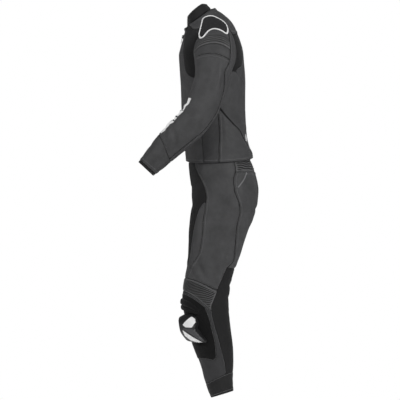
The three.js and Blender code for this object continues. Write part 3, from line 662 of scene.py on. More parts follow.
# ---------------- folds
FOLD_SCALE = 1.9  # how much the folds of worn, unlined leather stand out
FOLDS = {  # angle and row of each fold's start, angle and row of its end, bow, width and depth
    torso: [
        [62, 300, 74, 470, 5, 15, 2.2], [48, 330, 40, 520, -4, 18, -2.0], [22, 300, 12, 480, 4, 16, 1.8],
        [100, 300, 112, 500, 6, 17, -1.6], [118, 330, 104, 520, -5, 20, 1.8],
        [60, 270, 98, 330, 10, 12, -2.6], [30, 420, 84, 452, 7, 11, -1.8],
        [100, 452, 150, 430, 8, 12, -2.0], [128, 470, 172, 452, 5, 13, 1.4],
        [150, 250, 158, 430, 6, 18, 1.6], [20, 110, 38, 230, 6, 15, -1.4], [14, 470, 60, 520, -6, 12, 1.6],
        [128, 300, 138, 250, 4, 12, -1.8], [36, 240, 64, 300, -8, 14, 1.6],
    ],
    sleeve: [
        [106, 140, 122, 262, 4, 11, 2.6], [92, 150, 100, 290, -3, 13, -2.0],
        [66, 150, 58, 240, 5, 16, -1.8], [128, 170, 140, 262, 3, 9, -1.6], [20, 150, 34, 250, 4, 14, 1.6],
        [-60, 322, 26, 346, 14, 9, -4.4], [-70, 350, 12, 372, 12, 9, -3.8],
        [-50, 296, 40, 306, -10, 10, -3.2], [10, 330, 62, 322, -8, 12, 2.0],
        [-40, 385, 44, 410, 9, 11, -2.6], [70, 330, 108, 392, 7, 15, 2.0],
        [118, 300, 134, 372, -6, 13, -1.8], [44, 424, 120, 478, 12, 8, -2.6],
        [36, 446, 96, 492, 9, 10, 2.2], [-30, 440, 30, 466, 7, 10, -2.2], [150, 300, 205, 330, 9, 14, 1.8],
        [170, 360, 230, 392, 8, 12, -2.0], [236, 250, 300, 330, 9, 13, -2.4],
        [120, 540, 60, 566, 8, 9, -1.2], [20, 540, -50, 560, 7, 9, -1.4],
    ],
    leg: [
        [27, 386, 78, 446, -9, 9, 3.0], [46, 386, 84, 430, -6, 8, -3.2], [60, 372, 96, 404, -5, 12, 1.6],
        [104, 350, 118, 420, 5, 12, 1.8], [126, 360, 136, 398, 4, 9, -2.0], [34, 330, 40, 400, 4, 15, -1.6],
        [0, 396, 26, 440, -5, 9, -2.2], [-60, 400, -6, 436, -8, 10, -2.6], [-50, 372, 4, 392, -7, 12, 2.0],
        [-88, 215, -38, 290, 10, 13, -3.0], [-86, 240, -46, 350, 8, 15, 2.2],
        [-40, 150, 10, 205, 10, 13, -2.4], [30, 130, 72, 240, 6, 22, 1.6], [84, 150, 90, 330, 4, 26, -1.5],
        [112, 130, 118, 300, 5, 22, 1.7], [150, 175, 196, 232, 10, 14, -2.6],
        [140, 205, 188, 262, 8, 16, 1.8], [196, 240, 262, 226, 9, 13, -2.6],
        [160, 392, 226, 408, 8, 10, -2.6], [150, 424, 214, 436, 7, 9, -3.0],
        [156, 452, 230, 462, 8, 9, -2.8], [168, 476, 220, 486, 6, 9, -2.0],
        [178, 640, 190, 760, 5, 14, 1.2], [100, 700, 112, 800, 4, 13, -1.3],
        [20, 740, 34, 812, 4, 12, -1.2], [-40, 720, -26, 800, 4, 12, 1.2], [120, 826, 190, 842, 5, 8, -0.9],
    ],
}


def fold_lines(surface, side):
    """Each fold's line of points on its surface. On the right side they differ a little from the left."""
    lines = []
    t = np.linspace(0.02, 0.98, 49)
    arch = np.sin(np.pi * t)
    for k, (angle, row, to_angle, to_row, bow, width, depth) in enumerate(FOLDS.get(surface, [])):
        if side < 0:
            angle += 5 * math.sin(2.1 * k + 1)
            row += 9 * math.sin(1.7 * k)
            to_angle += 6 * math.cos(1.3 * k)
            to_row += 10 * math.cos(2.3 * k + 2)
            depth *= 1 + 0.3 * math.sin(2.9 * k)
            width *= 1 + 0.18 * math.cos(1.9 * k)
        line = surface(mix(angle, to_angle, t) + bow * arch, mix(row, to_row, t))
        lines.append((line, arch**0.7, width, depth))
    return lines


def fold_height(points, lines):
    """Soft troughs and ridges along the lines, each between low banks, dying out at its ends."""
    flat = points.reshape(-1, 3)
    total = np.zeros(len(flat))
    for line, fade, width, depth in lines:
        low, high = line.min(0) - 4 * width, line.max(0) + 4 * width
        near = np.flatnonzero(((flat > low) & (flat < high)).all(1))
        if not len(near):
            continue
        away = ((flat[near][:, None] - line) ** 2).sum(-1)
        step = length(np.diff(line, axis=0)).mean()
        for wide, share in ((width, 1.0), (2.1 * width, -0.4)):
            crowd = (fade**4 * np.exp(-4 * away / wide**2)).sum(1) * step / (wide * math.sqrt(math.pi / 4))
            total[near] += FOLD_SCALE * depth * share * crowd**0.25
    return total.reshape(points.shape[:-1])


def slack(points, side):
    """The gentle unevenness of worn leather: long waves, a fraction of a millimetre high."""
    x, y, z = np.abs(points[..., 0]) / 31, points[..., 1] / 27, points[..., 2] / 36
    a = np.sin(1.3 * y + 1.9 * np.sin(0.9 * z + side) + 0.7 * x)
    b = np.sin(1.7 * z + 1.4 * np.sin(1.1 * y + 2 * side) - 1.2 * x)
    c = np.sin(2.6 * y - 2.2 * z + 1.1 * side + 1.8 * np.sin(1.4 * x))
    return 0.32 * a + 0.34 * b + 0.16 * c


# ---------------- stitches
def along_line(points, normals, pitch, start):
    """Even places along a line of points: the place, the outward normal and the direction."""
    reach = reach_along(points)
    places = start + (np.arange(max(0, (reach[-1] - 2 * start) // pitch)) + 0.5) * pitch
    ahead = unit(between(places + 0.6, reach, points) - between(places - 0.6, reach, points))
    return between(places, reach, points), unit(between(places, reach, normals)), ahead


def stitch_edges(grid, group, side):
    """Lays rows of stitches along a panel's edges, on the nearest lines of its grid."""
    outer = grid.outer()
    for index, kind in enumerate(grid.edges):
        lines = grid.column_lines if index < 2 else grid.row_lines
        for distance in STITCHED.get(kind, ()):
            k = int(np.argmin(np.abs(lines - distance)))
            k = -1 - k if index % 2 else k
            run = [values[:, k] if index < 2 else values[k] for values in (outer, grid.normal)]
            if grid.around:
                run = [wrapped(values) for values in run]
            threads[group].append([values * [side, 1, 1] for values in run])


def stitches_object(name, runs):
    """All stitches of some runs as one mesh of short rounded threads, half sunk in the leather."""
    half, thick = STITCH["long"] / 2, STITCH["thick"]
    around = 5
    turn = full_circle(around)
    ring = np.stack([0 * turn, 1.2 * thick * np.cos(turn), 0.8 * thick * np.sin(turn)], -1) + [0, 0, 0.2]
    end, bend = np.array([[half, 0, 0]]), [0.55 * half, 0, 0]
    thread_points = np.concatenate([-end, ring - bend, ring + bend, end])
    near = wrapped(1 + np.arange(around))
    far = near + around
    caps = [(0 * near[1:], near[1:], near[:-1]), (0 * far[1:] + 2 * around + 1, far[:-1], far[1:])]
    points = []
    for line, normals in runs:
        here, up, ahead = along_line(line, normals, STITCH["pitch"], STITCH["start"])
        aside = unit(np.cross(up, ahead))
        axes = np.stack([ahead, aside, np.cross(ahead, aside)], 1)
        points.append((here[:, None] + thread_points @ axes).reshape(-1, 3))
    points = np.concatenate(points)
    shift = np.arange(0, len(points), len(thread_points))[:, None, None]
    faces = (shift + quads(np.stack([near, far], 1))).reshape(-1, 4).tolist()
    faces += [face for cap in caps for face in (shift + np.stack(cap, -1)).reshape(-1, 3).tolist()]
    return mesh_object(name, points, faces, sharp=180)


# ---------------- materials
class Shader:
    """A material being made from nodes, in metres of the object's own space or of the cloth's flat cut."""

    def __init__(self, name, color, roughness, **sockets):
        self.material = bpy.data.materials.new(name)
        self.material.use_nodes = True
        self.tree = self.material.node_tree
        self.surface = self.tree.nodes["Principled BSDF"]
        self.color = color
        self.surface.inputs["Base Color"].default_value = (*color, 1)
        self.surface.inputs["Roughness"].default_value = roughness
        for socket, value in sockets.items():
            self.surface.inputs[socket.replace("_", " ")].default_value = value
        places = self.node("ShaderNodeTexCoord").outputs
        self.space, self.cut = places["Object"], places["UV"]

    def node(self, kind, inputs=None, **settings):
        made = self.tree.nodes.new(kind)
        for key, value in settings.items():
            setattr(made, key, value)
        for socket, value in (inputs or {}).items():
            if isinstance(value, bpy.types.NodeSocket):
                self.tree.links.new(value, made.inputs[socket])
            else:
                made.inputs[socket].default_value = value
        return made

    def link(self, source, socket):
        self.tree.links.new(source, self.surface.inputs[socket])

    def ramp(self, value, *stops):
        ramp = self.node("ShaderNodeValToRGB", {"Fac": value})
        while len(ramp.color_ramp.elements) < len(stops):
            ramp.color_ramp.elements.new(0.5)
        for element, (place, shade) in zip(ramp.color_ramp.elements, stops):
            element.position = place
            element.color = (*shade, 1) if isinstance(shade, tuple) else (shade, shade, shade, 1)
        return ramp.outputs["Color"]

    def math(self, operation, a, b=0.0):
        return self.node("ShaderNodeMath", {0: a, 1: b}, operation=operation).outputs[0]

    def times(self, a, b):
        return self.math("MULTIPLY", a, b)

    def blend(self, a, share, b, other_share):
        return self.math("ADD", self.times(a, share), self.times(b, other_share))

    def wave(self, axis, pitch, operation="SINE"):
        """A wave across or down the flat cut."""
        split = self.node("ShaderNodeSeparateXYZ", {"Vector": self.cut})
        return self.math(operation, self.times(split.outputs[axis], 2 * math.pi / pitch))

    def noise(self, scale, detail=2.0, roughness=0.5, stretch=None):
        where = self.space
        if stretch:
            where = self.node("ShaderNodeMapping", {"Vector": where, "Scale": stretch}).outputs[0]
        settings = {"Vector": where, "Scale": scale, "Detail": detail, "Roughness": roughness}
        return self.node("ShaderNodeTexNoise", settings).outputs["Fac"]

    def cells(self, scale, feature="DISTANCE_TO_EDGE"):
        settings = {"Vector": self.space, "Scale": scale}
        return self.node("ShaderNodeTexVoronoi", settings, feature=feature).outputs["Distance"]

    def rough(self, low, value, span):
        """Roughness that a value raises from its low end over a span."""
        self.link(self.math("ADD", low, self.times(value, span)), "Roughness")

    def relief(self, *layers):
        """Bump layers of (height socket, distance in metres, strength), one on the other."""
        normal = None
        for height, distance, strength in layers:
            inputs = {"Height": height, "Distance": distance, "Strength": strength}
            if normal:
                inputs["Normal"] = normal
            normal = self.node("ShaderNodeBump", inputs).outputs["Normal"]
        self.link(normal, "Normal")

    def tint(self, value, dark, light, shaded=0.0):
        """The base colour between two tones of itself, with painted shade: darker where the mesh's shade
        attribute says that it is shaded.
        """
        low, high, deep = (tuple(part * share for part in self.color) for share in (dark, light, 0.1))
        color = self.ramp(value, (0.3, low), (0.7, high))
        if shaded:
            shade = self.node("ShaderNodeAttribute", attribute_name="shade").outputs["Fac"]
            sockets = {"Factor": self.times(shade, shaded), 6: color, 7: (*deep, 1)}
            color = self.node("ShaderNodeMix", sockets, data_type="RGBA").outputs[2]
        self.link(color, "Base Color")


def leather(name, color, roughness=0.54, worn=0.08):
    """Drummed cowhide: pebbled grain in two sizes, pores, faint colour clouds and rubbed highlights."""
    made = Shader(name, color, roughness, Specular_IOR_Level=0.28)
    clouds, creases = made.noise(20, 5, 0.68), made.noise(60, 6, 0.72)
    grain, fine, pores = made.cells(620), made.cells(1500), made.noise(2600, 2)
    soft = made.ramp(grain, (0.0, 0.0), (0.22, 0.75), (0.6, 1.0))
    # painted shade: 0.9 of the mesh's shade attribute blends the colour towards a tenth of itself
    made.tint(made.blend(clouds, 0.75, soft, 0.25), 0.72, 1.2, 0.9)
    made.rough(roughness - worn, made.math("ADD", clouds, pores), worn)
    made.relief((creases, 0.0012, 0.3), (soft, 0.0004, 0.45), (fine, 0.0002, 0.3), (pores, 0.0001, 0.2))
    return made.material


def woven(name, color, pitch=0.0011, roughness=0.82, sheen=0.12):
    """Woven stretch cloth: threads over and under each other, on the flat cut."""
    made = Shader(name, color, roughness, Sheen_Weight=sheen, Sheen_Roughness=0.45, Specular_IOR_Level=0.3)
    weave = made.times(made.wave("X", pitch), made.wave("Y", pitch))
    height = made.blend(weave, 0.6, made.math("ABSOLUTE", made.wave("Y", 2 * pitch)), 0.5)
    made.tint(made.blend(height, 0.18, made.noise(22, 4, 0.6), 0.8), 0.82, 1.14)
    made.relief((made.noise(90, 5, 0.7), 0.0012, 0.3), (height, 0.0003, 0.5))
    return made.material


def smooth_knit(name, color):
    """Neoprene faced with a fine knit."""
    made = Shader(name, color, 0.7, Sheen_Weight=0.08, Sheen_Roughness=0.5, Specular_IOR_Level=0.3)
    loops = made.cells(1300, "F1")
    made.tint(made.blend(made.noise(30, 3), 0.8, loops, 0.2), 0.88, 1.1)
    made.relief((made.noise(110, 4, 0.65), 0.0009, 0.3), (loops, 0.00025, 0.45))
    return made.material


def velour(name, color):
    """Looped pile that hooks onto a slider's back: a matt felted surface."""
    made = Shader(name, color, 0.95, Sheen_Weight=0.1, Sheen_Roughness=0.6, Specular_IOR_Level=0.12)
    pile, patches = made.noise(1500, 5, 0.75), made.noise(40, 4, 0.7)
    made.tint(made.blend(patches, 0.6, pile, 0.4), 0.7, 1.35)
    made.relief((patches, 0.0009, 0.3), (pile, 0.0006, 0.7))
    return made.material


def perforated(name, color, pitch=0.0056):
    """Mesh with round holes in staggered rows, on the flat cut."""
    made = Shader(name, color, 0.7, Specular_IOR_Level=0.3)
    rows = made.wave("X", pitch, "COSINE"), made.wave("Y", pitch * math.sqrt(3), "COSINE")
    hole = made.ramp(made.times(*rows), (0.38, 0.0), (0.55, 1.0))
    low, high = (tuple(part * share for part in color) for share in (0.25, 1.5))
    made.link(made.ramp(hole, (0.0, high), (1.0, low)), "Base Color")
    made.relief((hole, -0.0012, 0.8), (made.noise(700, 3), 0.0002, 0.4))
    return made.material


def plastic(name, color, roughness, scuffs=0.1):
    """Moulded plastic with a spark-eroded face and a few rubbed marks."""
    made = Shader(name, color, roughness, Specular_IOR_Level=0.5)
    marks = made.noise(90, 5, 0.7, stretch=(1, 1, 5))
    made.tint(made.noise(18, 3), 0.95, 1.05)
    made.rough(roughness - scuffs / 2, marks, scuffs)
    made.relief((made.noise(1800, 2), 0.00012, 0.4), (marks, 0.0003, 0.2))
    return made.material


def metal(name, color, roughness):
    """Brushed and darkened metal."""
    made = Shader(name, color, roughness, Metallic=1.0)
    scratches = made.noise(700, 4, 0.7, stretch=(1, 6, 1))
    made.tint(made.noise(120, 3), 0.85, 1.12)
    made.rough(roughness - 0.08, scratches, 0.16)
    made.relief((scratches, 0.00006, 0.3))
    return made.material


def thread(name, color):
    """Twisted sewing thread."""
    made = Shader(name, color, 0.6, Sheen_Weight=0.2, Specular_IOR_Level=0.33)
    twist = made.noise(2400, 2)
    made.tint(twist, 0.8, 1.2)
    made.relief((twist, 0.0002, 0.5))
    return made.material


CHARCOAL = leather("charcoal_leather", (0.072, 0.072, 0.074), worn=0.12)
DARK = leather("dark_leather", (0.041, 0.041, 0.043))
# a darker copy of the charcoal leather for the side panels: painted shade where the sleeve shades the side
SIDE_PAINTED_SHADE = leather("side_leather_painted_shade", (0.054, 0.054, 0.056))
# lighter than the charcoal leather so that the rib crests read as lit beside the painted shade in the valleys:
# a painted highlight
ACCORDION_PAINTED_HIGHLIGHT = leather("accordion_leather", (0.128, 0.128, 0.13), 0.5)
# a much lighter copy of the leather: a painted highlight along the pocket welt
WELT_PAINTED_HIGHLIGHT = leather("welt_leather_painted_highlight", (0.2, 0.2, 0.205), 0.45)
STRETCH = woven("stretch_fabric", (0.015, 0.015, 0.0155), sheen=0.06)
NEOPRENE = smooth_knit("neoprene", (0.0135, 0.0135, 0.014))
MESH = perforated("perforated_insert", (0.024, 0.024, 0.025))
VELOUR = velour("knee_velour", (0.0058, 0.0058, 0.006))
BLACK_PLASTIC = plastic("slider_black", (0.018, 0.018, 0.019), 0.36)
WHITE_PLASTIC = plastic("slider_white", (0.93, 0.93, 0.93), 0.42)
GREY_PLASTIC = plastic("slider_grey", (0.07, 0.07, 0.074), 0.34)
PIPING = plastic("white_piping", (0.96, 0.96, 0.96), 0.5, 0.06)
PRINT = plastic("white_print", (0.95, 0.95, 0.95), 0.55, 0.1)
TAPE = woven("zip_tape", (0.01, 0.01, 0.011), 0.0008, 0.8)
TEETH = plastic("zip_teeth", (0.02, 0.02, 0.021), 0.4)
METAL = metal("zip_metal", (0.09, 0.09, 0.095), 0.42)
THREAD = thread("grey_thread", (0.17, 0.17, 0.174))


def declare(made, material, *nodes, body="suit"):
    """Everything a piece needs: its looks, the body it rides on and the nodes it stands for."""
    made.data.materials.append(material)
    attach(made, body)
    if nodes:
        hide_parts(*nodes)
    return made


# ---------------- cloth panels
def flat_cut(grid):
    """The size and the area of a panel's flat cut, in metres: its smooth surface, without folds."""
    p = wrapped(grid.point, 1) if grid.around else grid.point
    first = np.cross(p[1:, :-1] - p[:-1, :-1], p[:-1, 1:] - p[:-1, :-1])
    second = np.cross(p[1:, :-1] - p[1:, 1:], p[:-1, 1:] - p[1:, 1:])
    area = float((length(first) + length(second)).sum() / 2) * MM * MM
    wide = grid.wide * MM
    return (wide, max(grid.tall * MM, area / wide)), area


def panel(
    name, surface, rows, seams, edges, material,
    wall=LEATHER, full=0.9, lift=0.0, relief=None, pair=True, **spacing,
):
    """A cloth panel, or a pair of them, in place of the node or nodes of that name."""
    group, carrier = ("trousers", "waistband_panel") if surface in (leg, hips) else ("jacket", "yoke_panel")
    for side, word in SIDES if pair else [(1, "")]:
        node = f"{name}_{word}" if pair else name
        grid = Grid(surface, rows, seams, edges, **spacing)
        carried_on = 0.55 + 0.45 * smooth(np.minimum(*grid.away[:2]) / 22)  # folds are flatter at seams
        grid.fold += fold_height(grid.point, fold_lines(surface, side)) * carried_on
        grid.fold += (slack(grid.point, side) + full) * smooth(grid.nearest / 30) + lift
        if relief:
            grid.height += relief(grid)
        made = declare(wall_mesh(f"{node}_panel", grid, wall, side), material, node)
        (wide, long), area = flat_cut(grid)
        stitch_edges(grid, group, side)


def ribbed(pitch, high, along, sharp):
    """Rounded ribs with narrow sewn valleys between them, where along(grid) is the distance across them, and
    painted shade darkening the valleys.
    """

    def relief(grid):
        valley = np.abs(2 * np.mod(along(grid) / pitch, 1) - 1) ** sharp
        inside = smooth((grid.nearest - 3) / 5)
        # painted shade in the rib valleys, darkest at each valley's middle
        grid.shade = np.maximum(grid.shade, smooth(1.9 * valley) * inside)
        return high * (0.6 - valley) * inside

    return relief


# ---------------- jacket body
def neck_roll(grid):
    """The padded ridge that a jacket has below its collar."""
    return 7.0 * bump(grid.from_top - 14, 7)


CHEST_END = 290  # lower end of the chest stretch panels
TIP = 535  # lower point of the back side panels
HEM = 595  # last row of the jacket
DIAGONAL_TOP = 376  # where the diagonal seam leaves the side seam
YOKE_END = armhole_row(3)
POINT = 0.7  # width, in degrees, of a panel that ends in a point


def front_edge(row):
    below = np.where(row <= UNDERARM, armhole_edge(-1)(row), side_seam(row))
    return np.where(row <= armhole_row(0), shoulder_seam(row), below)


def yoke_edge(row):
    return np.where(row <= armhole_row(0), shoulder_seam(row), armhole_edge(1)(row))


def back_side_front(row):
    pointed = np.maximum(diagonal_seam(row), side_seam(row) + POINT)
    below = np.where(row < DIAGONAL_TOP, side_seam(row), pointed)
    return np.where(row < UNDERARM, armhole_edge(1)(row), below)


def lower_back_rear(row):
    return np.where(row <= TIP, back_side_front(row), centre_back_seam(row))


def build_jacket_body():
    stretch = dict(material=STRETCH, wall=FABRIC, full=0.4)
    panel("yoke", torso, (0, YOKE_END), (yoke_edge, other_side(yoke_edge)), "felled felled plain felled",
          CHARCOAL, pair=False, relief=neck_roll)
    panel("front", torso, (0, HEM), (zip_edge, chest_seam), "felled plain plain hem", CHARCOAL,
          relief=neck_roll)
    panel("chest_stretch", torso, (0, CHEST_END), (chest_seam, front_edge), ALL_PLAIN, **stretch)
    panel("side", torso, (CHEST_END, HEM), (chest_seam, side_seam), "plain plain plain hem", SIDE_PAINTED_SHADE)
    panel("back_stretch", torso, (YOKE_END, armhole_row(7)), (armhole_edge(1), centre_back_seam), ALL_PLAIN,
          **stretch)
    panel("back_centre", torso, (YOKE_END, HEM), (centre_back_seam, other_side(centre_back_seam)),
          "turned turned plain hem", CHARCOAL, pair=False)
    panel("back_side", torso, (armhole_row(7), TIP), (back_side_front, centre_back_seam),
          "open plain plain none", CHARCOAL)
    panel("lower_back", torso, (DIAGONAL_TOP, HEM), (side_seam, lower_back_rear), "felled open none hem",
          CHARCOAL)


# ---------------- collar


COLLAR_END = 39.2  # just above the neck seam


def collar_roll(grid):
    """A bound top edge and a shallow sewn line beneath it."""
    bound = 0.8 * bump(grid.from_top - 4.5, 3.6)
    return bound - 0.7 * bump(grid.from_top - 9.6, 1.1) - 2.4 * np.clip(1 - grid.from_top / 3.0, 0, 1) ** 2


def collar_shape(angle, down):
    """The collar, with a rim that stands highest at the sides and is rounded off behind."""
    up = unit(collar(angle, 0 * down) - collar(angle, 0 * down + 8))
    rise = 6 * sin(angle) ** 2 - 5 * smooth((-cos(angle) - 0.55) / 0.45)
    return collar(angle, down) + up * (rise * (1 - down / COLLAR_END))[..., None]


def build_collar():
    edge = beside_zip(COLLAR, 0.2)
    panel("collar", collar_shape, (0, COLLAR_END), (edge, other_side(edge)), "turned turned none plain",
          NEOPRENE, wall=COLLAR_WALL, pair=False, relief=collar_roll, full=0.3)


# ---------------- sleeves
BAND_TOP, BAND_RIBS, BAND_END = 58, 92, 127  # rows of the accordion strip and the smooth band below it
WRIST, CUFF, SLEEVE_END = 505, 610, 622  # first rows of the wrist panel and the cuff, and the last one


def sleeve_lines(grid):
    return grid.from_top


def cuff_ribs(grid):
    """Fine lengthways ribs of a knitted cuff."""
    return 0.35 * np.cos(grid.uv[..., 0] * 2 * np.pi / 3.2) * smooth(grid.from_top / 3)


def build_sleeves():
    seams = front_sleeve_seam, rear_sleeve_seam
    turn = at_angle(0), at_angle(360)
    panel("sleeve_cap", sleeve, (0, BAND_TOP), seams, "plain plain turned plain", CHARCOAL)
    panel("sleeve_ribs", sleeve, (BAND_TOP, BAND_RIBS), seams, "plain plain turned turned", ACCORDION_PAINTED_HIGHLIGHT,
          wall=PADDED, full=0.3, even_rows=0.9, relief=ribbed(8.4, 2.8, sleeve_lines, 1.6))
    panel("sleeve_band", sleeve, (BAND_RIBS, BAND_END), seams, "plain plain plain turned", CHARCOAL,
          full=1.6)
    panel("outer_sleeve", sleeve, (BAND_END, WRIST), seams, "turned turned felled turned", CHARCOAL)
    panel("under_sleeve", sleeve, (0.8, WRIST), (rear_sleeve_seam, front_sleeve_seam_round),
          "felled plain plain turned", CHARCOAL, wall=FABRIC)
    panel("wrist", sleeve, (WRIST, CUFF), turn, "none none plain felled", CHARCOAL, around=True)
    panel("cuff", sleeve, (CUFF, SLEEVE_END), turn, "none none plain none", NEOPRENE, wall=PADDED, full=0.3,
          around=True, even=2.2, even_rows=2, relief=cuff_ribs)


# ---------------- trousers
WAISTBAND = -14  # last row of the waistband
RIBS_END = 66  # where the accordion panel below the waist meets the seat
KNEE_TOP, KNEE_END = 446, 494  # first and last row of the accordion panel above the knee
LEAF_TOP, LEAF_END = 175, 394  # rows between which the thigh front is leaf-shaped
CUFF_ROW, ANKLE = 820, 864  # first and last row of the ankle cuff


def stretch_edge(row):
    """Where the front stretch panel ends: at the leaf-shaped thigh front, then inwards above the knee."""
    end = leaf_seam(np.array(float(LEAF_END)))
    swinging = mix(end, -18, (row - LEAF_END) / (KNEE_TOP - LEAF_END))
    return np.where(row <= LEAF_TOP, thigh_seam(row), np.where(row <= LEAF_END, leaf_seam(row), swinging))


def leaf_rear(row):
    return np.maximum(thigh_seam(row), stretch_edge(row) + POINT)


def outer_seam(row):
    return np.where(row < LEAF_TOP, thigh_seam(row), leaf_rear(row))


def knee_fan(grid):
    """The distance across the knee's ribs: upright in front, leaning back more and more behind."""
    start = around = grid.uv[..., 0]
    for _ in range(6):
        start = around + 1.35 * smooth((start - 62) / 120) * grid.from_top
    return start


def rear_waves(grid):
    """The distance across the waist's ribs, which wander a little."""
    x = grid.uv[..., 0]
    wander = 1.5 * np.sin(x / 8.5 + 1.4 * np.sin(grid.from_top / 12 + x / 60))
    return grid.from_top + wander + 2.4 * np.sin(x / 26 + 2)


def build_trousers():
    ribs = dict(material=ACCORDION_PAINTED_HIGHLIGHT, wall=PADDED, full=0.3)
    stretch = dict(material=STRETCH, wall=FABRIC, full=0.4)
    turn, rear = (at_angle(0), at_angle(360)), (rear_leg_seam, inseam_round)
    top = WAISTBAND + 0.5
    panel("waistband", hips, (WAIST, WAISTBAND), turn, "none none felled turned", DARK, pair=False,
          around=True, full=0)
    panel("front_stretch", leg, (top, KNEE_TOP), (inseam, stretch_edge), ALL_PLAIN, **stretch)
    panel("thigh_front", leg, (LEAF_TOP, KNEE_TOP), (stretch_edge, leaf_rear), "turned turned none turned",
          CHARCOAL)
    panel("outer_thigh", leg, (top, KNEE_TOP), (outer_seam, rear_leg_seam), "felled turned plain turned",
          CHARCOAL)
    panel("seat", leg, (RIBS_END, LEAF_END), rear, "felled turned felled turned", CHARCOAL)
    panel("rear_ribs", leg, (top, RIBS_END - 0.4), rear, "felled turned plain plain",
          even=2.0, even_rows=1.0, relief=ribbed(8.8, 3.4, rear_waves, 1.5), **ribs)
    panel("knee_ribs", leg, (KNEE_TOP + 0.1, KNEE_END - 0.1), (inseam, rear_leg_seam),
          "plain plain turned plain", even=1.05, even_rows=0.8, relief=ribbed(9.6, 3.6, knee_fan, 1.3),
          **ribs)
    panel("shin", leg, (KNEE_END, CUFF_ROW), (inseam, rear_leg_seam), "turned turned felled plain", DARK)
    panel("calf_stretch", leg, (LEAF_END + 0.6, CUFF_ROW), rear, ALL_PLAIN, **stretch)
    panel("ankle_cuff", leg, (CUFF_ROW, ANKLE), turn, "none none turned hem", NEOPRENE, wall=FABRIC,
          around=True, full=0.4)


# ---------------- pieces laid on the panels
def chart_scale(surface, centre):
    """The lengths of a degree round a surface and of a millimetre down it, at a centre (angle, row)."""
    return np.array(frame_at(surface, *(np.array(float(value)) for value in centre))[2:])


def chart(surface, centre, places):
    """Points and normals of places given in millimetres (across, down) from a centre (angle, row)."""
    return frame_at(surface, *np.moveaxis(centre + places / chart_scale(surface, centre), -1, 0))[:2]


def to_chart(surface, centre, places):
    """The same the other way: (angle, row) places as millimetres across and down from the centre."""
    return (np.array(places, float) - centre) * chart_scale(surface, centre)


def rounded_outline(corners, radius, count):
    """A polygon with its corners rounded, as evenly spaced points."""
    corners = np.asarray(corners, float)
    line = []
    t = np.linspace(0, 1, 9)[:, None]
    for k, corner in enumerate(corners):
        back, ahead = corners[k - 1] - corner, corners[(k + 1) % len(corners)] - corner
        start, end = (corner + unit(way) * min(radius, 0.46 * length(way)) for way in (back, ahead))
        line.append((1 - t) ** 2 * start + 2 * t * (1 - t) * corner + t**2 * end)
    line = wrapped(np.concatenate(line))
    reach = reach_along(line)
    return between(np.arange(count) * reach[-1] / count, reach, line)


def flat_base(height):
    return lambda rings: height + 0 * rings[..., 0]


def patch_mesh(name, surface, centre, outline, shares, top, base, side=1, sharp=50, middle=(0, 0)):
    """A closed piece on a surface: rings of its outline at shares of its size, with a top and an underside.

    top(rings, shares) gives the height of its top, and base(rings) that of its underside.
    """
    shares = np.array(shares, float)[:, None]
    rings = np.asarray(middle) + (outline - middle) * shares[..., None]
    rows, count = rings.shape[:2]
    place, normal = chart(surface, centre, rings)
    heights = top(rings, shares + 0 * rings[..., 0]), base(rings)
    points = np.concatenate([(place + normal * height[..., None]).reshape(-1, 3) for height in heights])
    over = wrapped(np.arange(rows * count).reshape(rows, count), 1)
    under = over + rows * count
    faces = quads(over) + quads(under.T) + quads(np.stack([over[0], under[0]], 1))
    faces += [over[-1, -2::-1], under[-1, :-1]]
    spin = 1 if outline_area(outline) > 0 else -1
    uv = np.tile(rings.reshape(-1, 2), (2, 1))
    return mesh_object(name, points, [face[::spin] for face in faces], uv, sharp, side=side)


def strip_mesh(name, place, normal, half, high, side=1, closed=True):
    """A flattened round strip along a line, a little sunk into the surface. half may change along it."""
    sides, sunk = 10, 0.5
    if closed:
        ahead = unit(np.roll(place, -1, axis=0) - np.roll(place, 1, axis=0))
    else:
        ahead = unit(np.gradient(place, axis=0))
    aside = unit(np.cross(normal, ahead))
    turn = full_circle(sides)
    half = np.broadcast_to(np.asarray(half, float), len(place))[:, None, None]
    ring = place[:, None] + aside[:, None] * np.cos(turn)[:, None] * half
    ring = ring + normal[:, None] * (np.sin(turn) * high + high - 2 * sunk)[:, None]
    ids = np.arange(len(place) * sides).reshape(-1, sides)
    faces = quads(wrapped(wrapped(ids) if closed else ids, 1))
    if not closed:
        faces += [ids[0], ids[-1, ::-1]]
    return mesh_object(name, ring.reshape(-1, 3), faces, sharp=70, side=side)


ABOVE = 15  # where the search for a panel's face starts, above its smooth surface


def height_on(names, place, normal, side=1):
    """How high the outer faces of some panels lie over places on their smooth surface."""
    mirror = np.array([side, 1, 1])
    trees = []
    for name in names:
        mesh = bpy.data.objects[f"{name}_panel"].data
        corners, faces = [v.co / MM for v in mesh.vertices], [tuple(face.vertices) for face in mesh.polygons]
        trees.append(BVHTree.FromPolygons(corners, faces))
    heights = []
    for point, up in zip((place * mirror).reshape(-1, 3), (normal * mirror).reshape(-1, 3)):
        start, way = Vector(point + ABOVE * up), Vector(-up)
        found = [tree.ray_cast(start, way, 2 * ABOVE)[3] for tree in trees]
        heights.append(max([ABOVE - far for far in found if far is not None], default=0.5))
    return np.array(heights).reshape(place.shape[:-1])


INSERT_CENTRE = np.array([90.0, -8.0])
INSERT_OUTLINE = [
    [83.5, -57], [113, -56], [117.5, -50], [136.5, 0], [137, 22], [130, 41],
    [110.5, 33], [92.5, 25], [79.5, 27], [61, 54], [52, 52], [42.5, -2],
]


